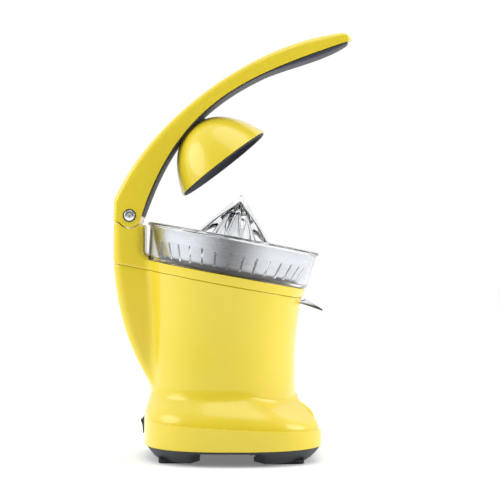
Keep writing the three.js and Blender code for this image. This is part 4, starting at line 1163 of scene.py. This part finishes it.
class JUICER_OT_arm(StepOperator, bpy.types.Operator):
    """Arm cover, the lining under it and the grip at its tip"""

    bl_idname = "juicer.arm"
    bl_label = "Arm, lining and grip"

    def execute(self, context):
        cover = skin("arm_shell", self.cover_rings(), odd=0, crease=32)
        dress(cover, "press_arm", "shell", "arm_cover")
        lining = self.strip("arm_lining", LINER_START, GRIP_START - GRIP_GAP, self.lining_depth)
        dress(lining, "press_arm", "soft", "arm_liner")
        grip = self.strip("arm_grip", GRIP_START, GRIP_END, self.grip_depth)
        dress(grip, "press_arm", "soft", "grip_pad")
        return {"FINISHED"}

    def cover_rings(self):
        """Sections from the hinge to the tip: rear of the hub, the sweep of the arm, the nose."""
        stations = []
        rear = Vector((ARM_REAR, SPLIT))
        top = Vector(ARM_OVER[0]) * MM
        hub = Vector((PIVOT.x, PIVOT.z))
        for s in np.linspace(0, 1, 14):
            over = rear.lerp(top, 0.03 + 0.97 * s)
            angle = math.radians(mix(213.4, 332, s))
            under = hub + KNUCKLE * Vector((math.cos(angle), math.sin(angle)))
            stations.append((over, under, ARM_HALF_HINGE, 0))
        heel = stations[-1][1]
        t = np.linspace(0, 1, 97)[1:]
        overs = bezier(ARM_OVER, t)
        unders = facing(overs)
        for share, over, under in zip(t, overs, unders):
            under = Vector(under)
            if share < 0.05:
                under = heel.lerp(under, math.sqrt(share / 0.05))
            hollow = smoothstep(0.02, 0.07, share) * smoothstep(0.992, 0.975, share)
            stations.append((Vector(over), under, arm_half(share), hollow))
        end = Vector(ARM_UNDER[3]) * MM
        last = Vector(ARM_OVER[3]) * MM
        rings = [self.section(*station) for station in stations]
        for s in (0.25, 0.5, 0.72, 0.88, 0.97, 1.0):
            swell = math.sqrt(1 - s * s)
            out = math.sin(s * math.pi / 2)
            tip = (last + end) / 2
            over = last.lerp(tip, 1 - swell) + Vector((5.6, -2.2)) * MM * out
            under = end.lerp(tip, 1 - swell) + Vector((5.6, -2.2)) * MM * out * 0.3
            half = ARM_HALF_TIP - 7 * MM * (1 - swell)
            rings.append(self.section(over, under, half, 0))
        return rings

    def section(self, over, under, half, hollow):
        """A U-shaped section: up one side, over the rounded top, down and back along the inside.
        hollow is the share of the height up to the top wall that is open from below."""
        across = over - under
        tall = across.length
        up = across / tall
        corner = min(self.sizes.arm_corner, tall * 0.45, half * 0.8)
        wall = self.sizes.shell_wall
        depth = max(0.3 * MM, (tall - wall) * hollow)
        line = [(-half, 0.0), (-half, 0.4 * (tall - corner)), (-half, tall - corner)]
        steps = 9
        for k in range(1, steps):
            a = math.pi / 2 * k / steps
            line.append((-half + corner - corner * math.cos(a), tall - corner + corner * math.sin(a)))
        line.append((-half + corner, tall))
        line.append((-half * 0.4, tall + 0.25 * MM))
        outer = line + [(-y, s) for y, s in reversed(line)]
        within = (half - wall) / half
        inner = [(y * within, min(s * depth / tall, depth)) for y, s in outer]
        ring = outer + inner[::-1]
        return np.array([(under.x + up.x * s, y, under.y + up.y * s) for y, s in ring])

    def lining_depth(self, s):
        return self.sizes.liner_depth * min(1, 0.35 + 8 * s)

    def grip_depth(self, s):
        swell = math.sin(math.pi * s**1.5) ** 0.8
        level = mix(self.sizes.liner_depth, 0.6 * MM, s)
        return level + (self.sizes.grip_depth - 0.7 * MM) * swell

    def strip(self, name, start, end, depth):
        """A strip under the arm's lower edge with rounded lower corners and closed ends."""
        under = bezier(ARM_UNDER, np.linspace(0, 1, 481))
        step = np.linalg.norm(np.diff(under, axis=0), axis=1)
        travel = np.concatenate([[0], np.cumsum(step)]) / step.sum()
        rings = []
        shares = np.linspace(0, 1, 90)
        shares = np.concatenate([shares[:1], [0.002, 0.006], shares[1:-1], [0.994, 0.998, 1]])
        for s in shares:
            t = mix(start, end, s)
            place = Vector([np.interp(t, travel, under[:, k]) for k in (0, 1)])
            ahead = Vector([np.interp(t + 0.01, travel, under[:, k]) for k in (0, 1)])
            back = Vector([np.interp(t - 0.01, travel, under[:, k]) for k in (0, 1)])
            way = (ahead - back).normalized()
            down = Vector((way.y, -way.x))
            ease = math.sin(math.pi / 2 * min(1, s / 0.006, (1 - s) / 0.006))
            half = arm_half(t) - 0.9 * MM - 0.25 * MM * (1 - ease)
            narrow = max(0, (t - 0.93) / 0.07)
            half -= 6 * MM * narrow * narrow
            deep = depth(s) - 0.25 * MM * (1 - ease)
            corner = min(2.6 * MM, deep * 0.6)
            line = [(-half, STRIP_BED), (-half, STRIP_BED + (deep - corner) * 0.6)]
            for k in range(7):
                a = math.pi / 2 * k / 6
                line.append((-half + corner * (1 - math.cos(a)),
                             STRIP_BED + deep - corner + corner * math.sin(a)))
            line.append((-half * 0.5, STRIP_BED + deep + 0.4 * MM))
            line = line + [(-y, d) for y, d in reversed(line)]
            rings.append(np.array([(place.x + down.x * d, y, place.y + down.y * d) for y, d in line]))
        return skin(name, rings, odd=0)


class JUICER_OT_hinge(StepOperator, bpy.types.Operator):
    """Bright caps with their dark rings at the two ends of the arm's pivot"""

    bl_idname = "juicer.hinge"
    bl_label = "Pivot caps"

    def execute(self, context):
        for side, label in ((1, "left"), (-1, "right")):
            low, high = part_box("pivot_cap_" + label)
            ring_low, ring_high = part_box("pivot_ring_" + label)
            radius = (high.z - low.z) / 2
            wide = (ring_high.z - ring_low.z) / 2
            inner = low.y if side > 0 else -high.y
            along = Matrix.Translation((PIVOT.x, 0, PIVOT.z)) @ Matrix.Rotation(
                -side * math.pi / 2, 4, "X")
            cap = [
                (0, inner), (radius, inner), (radius, inner + 1.9 * MM),
                (radius - 0.5 * MM, inner + 2.3 * MM), (radius * 0.6, inner + 2.6 * MM),
                (1.9 * MM, inner + 2.7 * MM), (1.7 * MM, inner + 2.5 * MM),
                (1.7 * MM, inner + 2.0 * MM), (0, inner + 1.95 * MM),
            ]
            radii = [0, 0, 0.3 * MM, 0.4 * MM, 0.8 * MM, 0.15 * MM, 0.1 * MM, 0, 0]
            piece = turned("pivot_cap_bright_" + label, rounded(cap, radii), along, 72, closed=False)
            dress(piece, "press_arm", "chrome", "pivot_cap_" + label)
            trim = [
                (radius + 0.15 * MM, inner), (wide, inner), (wide, inner + 1.9 * MM),
                (wide - 0.3 * MM, inner + 2.1 * MM), (radius + 0.15 * MM, inner + 2.0 * MM),
            ]
            piece = turned("pivot_trim_" + label, rounded(trim, [0, 0, 0.3 * MM, 0.2 * MM, 0.1 * MM]),
                           along, 72)
            dress(piece, "press_arm", "black", "pivot_ring_" + label)
        return {"FINISHED"}


def dome_curve(offset, start=0.0, steps=48):
    """Radius and height pairs of the dome from its rim to its crown, moved out by offset."""
    r, d = DOME_RADIUS, DOME_DEPTH
    points = ((r + offset, start), (r * 0.808 + offset, d * 0.582), (r * 0.486 + offset / 2, d + offset),
              (0, d + offset))
    return [tuple(p) for p in bezier([(x / MM, z / MM) for x, z in points], np.linspace(0, 1, steps))]


class JUICER_OT_dome(StepOperator, bpy.types.Operator):
    """Dome shell and its lining"""

    bl_idname = "juicer.dome"
    bl_label = "Dome"

    def execute(self, context):
        wall = self.sizes.dome_wall
        outer = dome_curve(0)
        inner = dome_curve(-wall)
        bore = 3 * MM
        edge = [(DOME_RADIUS - 0.5 * MM, -0.15 * MM), (DOME_RADIUS - wall * 0.6, -0.15 * MM)]
        profile = [(bore, outer[-1][1]), *[p for p in outer[::-1] if p[0] > bore], *edge,
                   *[p for p in inner if p[0] > bore], (bore, inner[-1][1])]
        shell = turned("dome_skin", profile, DOME_FRAME, 160)
        dress(shell, "press_arm", "shell", "dome_shell")
        first = dome_curve(-wall - 0.35 * MM, 1.2 * MM)
        second = dome_curve(-wall - 1.8 * MM, 1.2 * MM)
        lip = [
            (first[0][0], -0.2 * MM), (first[0][0] + 1.1 * MM, -0.5 * MM),
            (first[0][0] + 1.2 * MM, -1.1 * MM), (first[0][0] + 0.6 * MM, -1.5 * MM),
            (second[0][0] + 0.3 * MM, -1.5 * MM), (second[0][0], -0.9 * MM),
        ]
        profile = [(bore, first[-1][1]), *[p for p in first[::-1] if p[0] > bore], *lip,
                   *[p for p in second if p[0] > bore], (bore, second[-1][1])]
        lining = turned("dome_lining", profile, DOME_FRAME, 160)
        dress(lining, "press_arm", "soft", "dome_liner")
        return {"FINISHED"}


# ------------------------------------------------------------ operators: over the deck
class JUICER_OT_bowl(StepOperator, bpy.types.Operator):
    """Clear bowl with its rim, centre tube and drain"""

    bl_idname = "juicer.bowl"
    bl_label = "Bowl"

    def execute(self, context):
        t = self.sizes.bowl_wall / MM
        profile = [
            (12.6, 19), (12.6, -6.2), (76.4, -6.2), (76.4, 0.5), (81.6, 0.5), (85.9, 34.6),
            (88.4, 35.6), (88.0, 38.2), (86.5 - t, 38.2), (85.9 - t, 34.6), (81.6 - t, 0.5 + t),
            (76.4 - t, -0.5), (76.4 - t, -4.2), (12.6 + t, -4.2), (12.6 + t, 19),
        ]
        radii = [0.8, 1.2, 1.6, 1.0, 2.4, 1.6, 0.8, 1.0, 0.9, 2.0, 2.4, 1.6, 1.4, 1.4, 0.8]
        shape = rounded(metres(profile), [r * MM for r in radii], 6)
        bowl = turned("bowl_clear", shape, DECK_FRAME, 192)
        at = DECK_FRAME @ Matrix.Translation((DRAIN_U, 0, 0))
        nozzle = metres([(0, -11.4), (6.4, -11.4), (7, -10.8), (7, -4.7), (0, -4.7)])
        drain = metres([(0, -12.4), (5.4, -12.4), (5.4, 2), (0, 2)])
        boolean(bowl, turned("cutter", nozzle, at, 48, closed=False), "UNION")
        boolean(bowl, turned("cutter", drain, at, 48, closed=False))
        soften(bowl)
        dress(bowl, "bowl", "tinted", "juice_bowl")
        return {"FINISHED"}


class JUICER_OT_strainer(StepOperator, bpy.types.Operator):
    """Pressed steel strainer with a ring of long slots"""

    bl_idname = "juicer.strainer"
    bl_label = "Strainer"

    open_columns = (3, 4, 5, 6)  # the columns of faces between a slot's two sides

    def execute(self, context):
        rim = [(83.0, 34.6), (82.6, 33.6), (82.0, 33.0), (79.8, 25.5), (79.0, 23.2), (78.5, 21.7)]
        slot = [(78.5, 21.7), (78.0, 20.6), (71.9, 6.5), (71.5, 5.6)]
        floor = [(71.5, 5.6), (69.8, 3.0), (68.6, 2.2), (66.5, 1.7), (40, 1.6), (19, 1.6), (17.6, 1.9),
                 (16.8, 2.8), (16.5, 4.2), (16.5, 12)]
        rows = [*rim[:-1], *slot, *floor[1:]]
        open_rows = range(len(rim) - 1, len(rim) + 2)
        slots = self.sizes.slots
        pitch = 2 * math.pi / slots
        lines = self.slot_lines(rows, pitch)
        width = len(lines[0]) - 1
        total = len(rows) * width
        points = []
        faces = []
        for k in range(slots):
            for (r, w), angles in zip(metres(rows), lines):
                for a in angles[:-1]:
                    turn = a + k * pitch
                    points.append(DECK_FRAME @ Vector((r * math.cos(turn), r * math.sin(turn), w)))
            for i in range(len(rows) - 1):
                for j in range(width):
                    if i in open_rows and j in self.open_columns:
                        continue
                    a = k * total + i * width + j
                    b = a + 1 if j + 1 < width else ((k + 1) % slots) * total + i * width
                    faces.append((a, b, b + width, a + width))
        sheet = mesh_object("strainer_sheet", points, faces, crease=50)
        thick = sheet.modifiers.new("thickness", "SOLIDIFY")
        thick.thickness = self.sizes.sheet
        thick.offset = 0
        apply_modifiers(sheet)
        soften(sheet, 50)
        dress(sheet, "strainer", "sheet_steel", "strainer")
        return {"FINISHED"}

    def slot_lines(self, rows, pitch):
        """Angles across one pitch on each row, gathered into the slot's sides where it is open."""
        lines = []
        for r, w in rows:
            half = self.sizes.slot_width / (2 * r * MM)
            half *= 1 if 6 < w < 21 else 0.55
            slot = np.linspace(-half, half, 5)
            left = np.linspace(-pitch / 2, -half, 4)[:-1]
            lines.append([-math.pi / 2 + a for a in [*left, *slot, *(-left[::-1])]])
        return lines


class JUICER_OT_cone(StepOperator, bpy.types.Operator):
    """Clear ribbed cone with two crossed fins"""

    bl_idname = "juicer.cone"
    bl_label = "Cone"

    def execute(self, context):
        flank = np.array([
            (47.5, 7, 0), (47.3, 9, 0), (46.7, 12.5, 0.1), (45, 19, 0.8), (43, 23.5, 1.0),
            (40.5, 28, 1), (37.6, 33, 1), (34, 38, 1), (30, 43.4, 1), (25.5, 49, 1), (20, 55.2, 0.9),
            (14, 61.5, 0.75), (8.6, 67, 0.5), (4.2, 71.4, 0.2), (3.4, 73.4, 0), (2.9, 75.6, 0),
            (2.2, 79.5, 0), (1.5, 81.3, 0), (0.6, 81.9, 0),
        ])
        fine = np.linspace(0, len(flank) - 1, 70)
        flank = np.column_stack([np.interp(fine, np.arange(len(flank)), flank[:, k])
                                 for k in range(3)])
        outer = skin("cone_clear", [self.cone_ring(r, w, rib) for r, w, rib in flank])
        fin = [(-45, 22), (-44.6, 23.5), (-38.4, 38), (-9.0, 73.6), (-7.8, 74.5), (-7.0, 74.3),
               (-3.9, 71.2), (3.9, 71.2), (7.0, 74.3), (7.8, 74.5), (9.0, 73.6), (38.4, 38),
               (44.6, 23.5), (45, 22)]
        for angle in (0, math.pi / 2):
            turn = DECK_FRAME @ Matrix.Rotation(angle, 4, "Z")
            boolean(outer, prism("cutter", metres(fin), -0.7 * MM, 0.7 * MM, turn), "UNION")
        hollow = metres([(0, 6), (45.1, 6), (41, 18), (29.4, 36), (16.2, 51), (7, 61), (0.2, 63),
                         (0, 63)])
        boolean(outer, turned("cutter", hollow, DECK_FRAME, 96, closed=False))
        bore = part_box("spindle")[1].y + 0.3 * MM
        socket = block_corners(bore, bore + 3 * MM, 18 * MM, 62 * MM)
        boolean(outer, turned("cutter", socket, DECK_FRAME, 48), "UNION")
        soften(outer, 30)
        dress(outer, "cone", "clear", "cone")
        return {"FINISHED"}

    def cone_ring(self, radius, w, rib):
        """A ring with rounded ribs between sharper valleys."""
        angle = round_angles(240)
        wave = np.abs(np.cos(self.sizes.ribs * angle / 2)) ** 0.7 * 2 - 1
        r = radius * MM + rib * self.sizes.rib_depth * wave
        return np.array([
            tuple(DECK_FRAME @ Vector((q * math.cos(a), q * math.sin(a), w * MM)))
            for q, a in zip(r, angle)
        ])


class JUICER_OT_spout(StepOperator, bpy.types.Operator):
    """Tilting steel spout"""

    bl_idname = "juicer.spout"
    bl_label = "Spout"

    def execute(self, context):
        stations = np.array([
            (60.5, -15.2, -12.2, 12), (72, -15.3, -12.2, 12), (80.6, -15.4, -12.2, 12),
            (81.8, -15.5, -11.3, 12), (83, -15.7, -10.5, 12), (88, -16.3, -11.8, 11.8),
            (92.5, -17, -13.4, 11.2), (97.5, -17.8, -15.2, 10), (100.5, -18.3, -16.5, 8.8),
            (101.8, -18.5, -17, 8),
        ])
        fine = np.linspace(0, len(stations) - 1, 55)
        rings = []
        for t in fine:
            u, low, high, half = [np.interp(t, np.arange(len(stations)), stations[:, k])
                                  for k in range(4)]
            rings.append(self.section(u, low, high, half))
        trough = skin("spout_trough", rings, odd=0, crease=40)
        dress(trough, "spout", "sheet_steel", "spout")
        return {"FINISHED"}

    def section(self, u, low, high, half):
        """A rounded channel, out along its underside and back along the inside."""
        bend = min(3.2, (high - low) * 0.9)
        line = [(-half, high), (-half, max(low + bend, high - 0.4))]
        for k in range(1, 7):
            a = math.pi / 2 * k / 6
            line.append((-half + bend * (1 - math.cos(a)), low + bend * (1 - math.sin(a))))
        outer = line + [(-y, w) for y, w in reversed(line)]
        sheet = self.sizes.sheet / MM
        inner = [(y * (half - sheet) / half, mix(low + sheet, high, (w - low) / (high - low)))
                 for y, w in outer]
        ring = outer + inner[::-1]
        return np.array([tuple(DECK_FRAME @ (Vector((u, y, w)) * MM)) for y, w in ring])


class JUICER_OT_inside(StepOperator, bpy.types.Operator):
    """Finishes of the parts kept as they are: hinge parts, gears, motor, screws"""

    bl_idname = "juicer.inside"
    bl_label = "Inner parts"

    def execute(self, context):
        keys = {slot: key for key, (_, _, slot) in FINISHES.items()}
        for part in frame["record"]["subparts"]:
            piece = frame["nodes"].get(part["node"])
            key = keys.get(part["material_slot"])
            if piece and key and not piece.hide_render:
                paint(piece, finish_of(key)[0])
                soften(piece, 30)
        return {"FINISHED"}


# ------------------------------------------------------------ operator: floor, light and camera
class JUICER_OT_stage(StepOperator, bpy.types.Operator):
    """Pale floor, soft studio light and the camera"""

    bl_idname = "juicer.stage"
    bl_label = "Floor, light and camera"

    def execute(self, context):
        settings = context.scene.juicer_stage
        self.floor(settings)
        self.surroundings(context.scene)
        for name, place, aim, size, power in (
            ("key_left", (-1.7, -0.35, 0.9), (0, 0, 0.2), 1.3, settings.key),
            ("fill_right", (1.7, -0.25, 0.8), (0, 0, 0.2), 1.2, settings.fill),
            ("top", (0.1, -0.4, 1.9), (0, 0, 0.1), 1.4, settings.fill * 0.7),
        ):
            self.lamp(name, Vector(place), Vector(aim), size, power)
        self.camera(context.scene, settings.lens)
        context.scene.view_settings.view_transform = "Standard"
        context.scene.view_settings.look = "None"
        return {"FINISHED"}

    def floor(self, settings):
        """A wide sheet of pale paper with the faintest tooth, lit a little from within."""
        rings = []
        for radius, z in ((6, -0.004), (6, 0), (0.001, 0), (0.001, -0.004)):
            angle = round_angles(96)
            rings.append(np.column_stack([radius * np.cos(angle), radius * np.sin(angle),
                                          np.full(96, z)]))
        piece = skin("floor", rings, loop=True)
        sheet = Sheet("pale_paper")
        tooth = sheet.noise(400.0)
        cloud = sheet.noise(3.0)
        tone = tuple(settings.floor)
        sheet.set(Base_Color=sheet.tones(cloud, tone, 0.98, 1.02))
        sheet.set(Roughness=0.75 + 0.1 * tooth)
        sheet.set(Emission_Color=sheet.tones(cloud, tone, 0.99, 1.0))
        sheet.set(Emission_Strength=0.2)
        sheet.bump(tooth, 0.1, 0.1 * MM)
        paint(piece, sheet.material)

    def surroundings(self, scene):
        """White behind and overhead, grey at the sides, darker towards the viewer."""
        world = bpy.data.worlds.new("studio")
        scene.world = world
        world.use_nodes = True
        world.node_tree.nodes.clear()
        sky = Tree(world.node_tree)
        way = sky.node("ShaderNodeSeparateXYZ", Vector=sky.value("ShaderNodeTexCoord", "Generated"))
        behind = self.ramp(sky, way.outputs["Y"], -0.75, 0.05, 0.10, 1.0)
        overhead = self.ramp(sky, way.outputs["Z"], 0.1, 0.9, 0.0, 0.3)
        light = sky.value("ShaderNodeBackground", "Background", Color=(1, 1, 1, 1),
                          Strength=behind + overhead)
        sky.node("ShaderNodeOutputWorld", Surface=light)

    def ramp(self, sky, socket, low, high, dark, bright):
        """Strength that goes from dark to bright as a socket goes from low to high."""
        return sky.value("ShaderNodeMapRange", "Result", Value=Value(sky, socket), From_Min=low,
                         From_Max=high, To_Min=dark, To_Max=bright)

    def lamp(self, name, place, aim, size, power):
        data = bpy.data.lights.new(name, "AREA")
        data.shape = "DISK"
        data.size = size
        data.energy = power
        lamp = bpy.data.objects.new(name, data)
        lamp.location = place
        lamp.rotation_euler = (aim - place).to_track_quat("-Z", "Y").to_euler()
        bpy.context.scene.collection.objects.link(lamp)

    def camera(self, scene, lens):
        data = bpy.data.cameras.new("camera")
        data.lens = lens
        data.shift_y = CAMERA_SHIFT
        camera = bpy.data.objects.new("camera", data)
        camera.location = CAMERA_PLACE
        camera.rotation_euler = (math.pi / 2, 0, 0)
        scene.collection.objects.link(camera)
        scene.camera = camera


# ------------------------------------------------------------ panel and registration
STEPS = (
    "lower_shell", "upper_shell", "bottom", "controls", "arm", "hinge", "dome", "bowl",
    "strainer", "cone", "spout", "inside", "stage",
)


class JUICER_PT_panel(bpy.types.Panel):
    """Sizes, colours and the steps that build the juicer"""

    bl_label = "Citrus Press Juicer"
    bl_space_type = "VIEW_3D"
    bl_region_type = "UI"
    bl_category = "Juicer"

    def draw(self, context):
        for title, group in (
            ("Sizes", context.scene.juicer_sizes),
            ("Colours", context.scene.juicer_colours),
            ("Stage", context.scene.juicer_stage),
        ):
            box = self.layout.box()
            box.label(text=title)
            for name in group.__annotations__:
                box.prop(group, name)
        for step in STEPS:
            self.layout.operator("juicer." + step)


CLASSES = (
    JuicerSizes, JuicerColours, JuicerStage,
    JUICER_OT_lower_shell, JUICER_OT_upper_shell, JUICER_OT_bottom, JUICER_OT_controls,
    JUICER_OT_arm, JUICER_OT_hinge, JUICER_OT_dome, JUICER_OT_bowl, JUICER_OT_strainer,
    JUICER_OT_cone, JUICER_OT_spout, JUICER_OT_inside, JUICER_OT_stage, JUICER_PT_panel,
)


def register():
    for kind in CLASSES:
        bpy.utils.register_class(kind)
    bpy.types.Scene.juicer_sizes = bpy.props.PointerProperty(type=JuicerSizes)
    bpy.types.Scene.juicer_colours = bpy.props.PointerProperty(type=JuicerColours)
    bpy.types.Scene.juicer_stage = bpy.props.PointerProperty(type=JuicerStage)


def unregister():
    del bpy.types.Scene.juicer_stage
    del bpy.types.Scene.juicer_colours
    del bpy.types.Scene.juicer_sizes
    for kind in reversed(CLASSES):
        bpy.utils.unregister_class(kind)


def main():
    register()
    for step in STEPS:
        getattr(bpy.ops.juicer, step)()


if __name__ == "__main__":
    main()
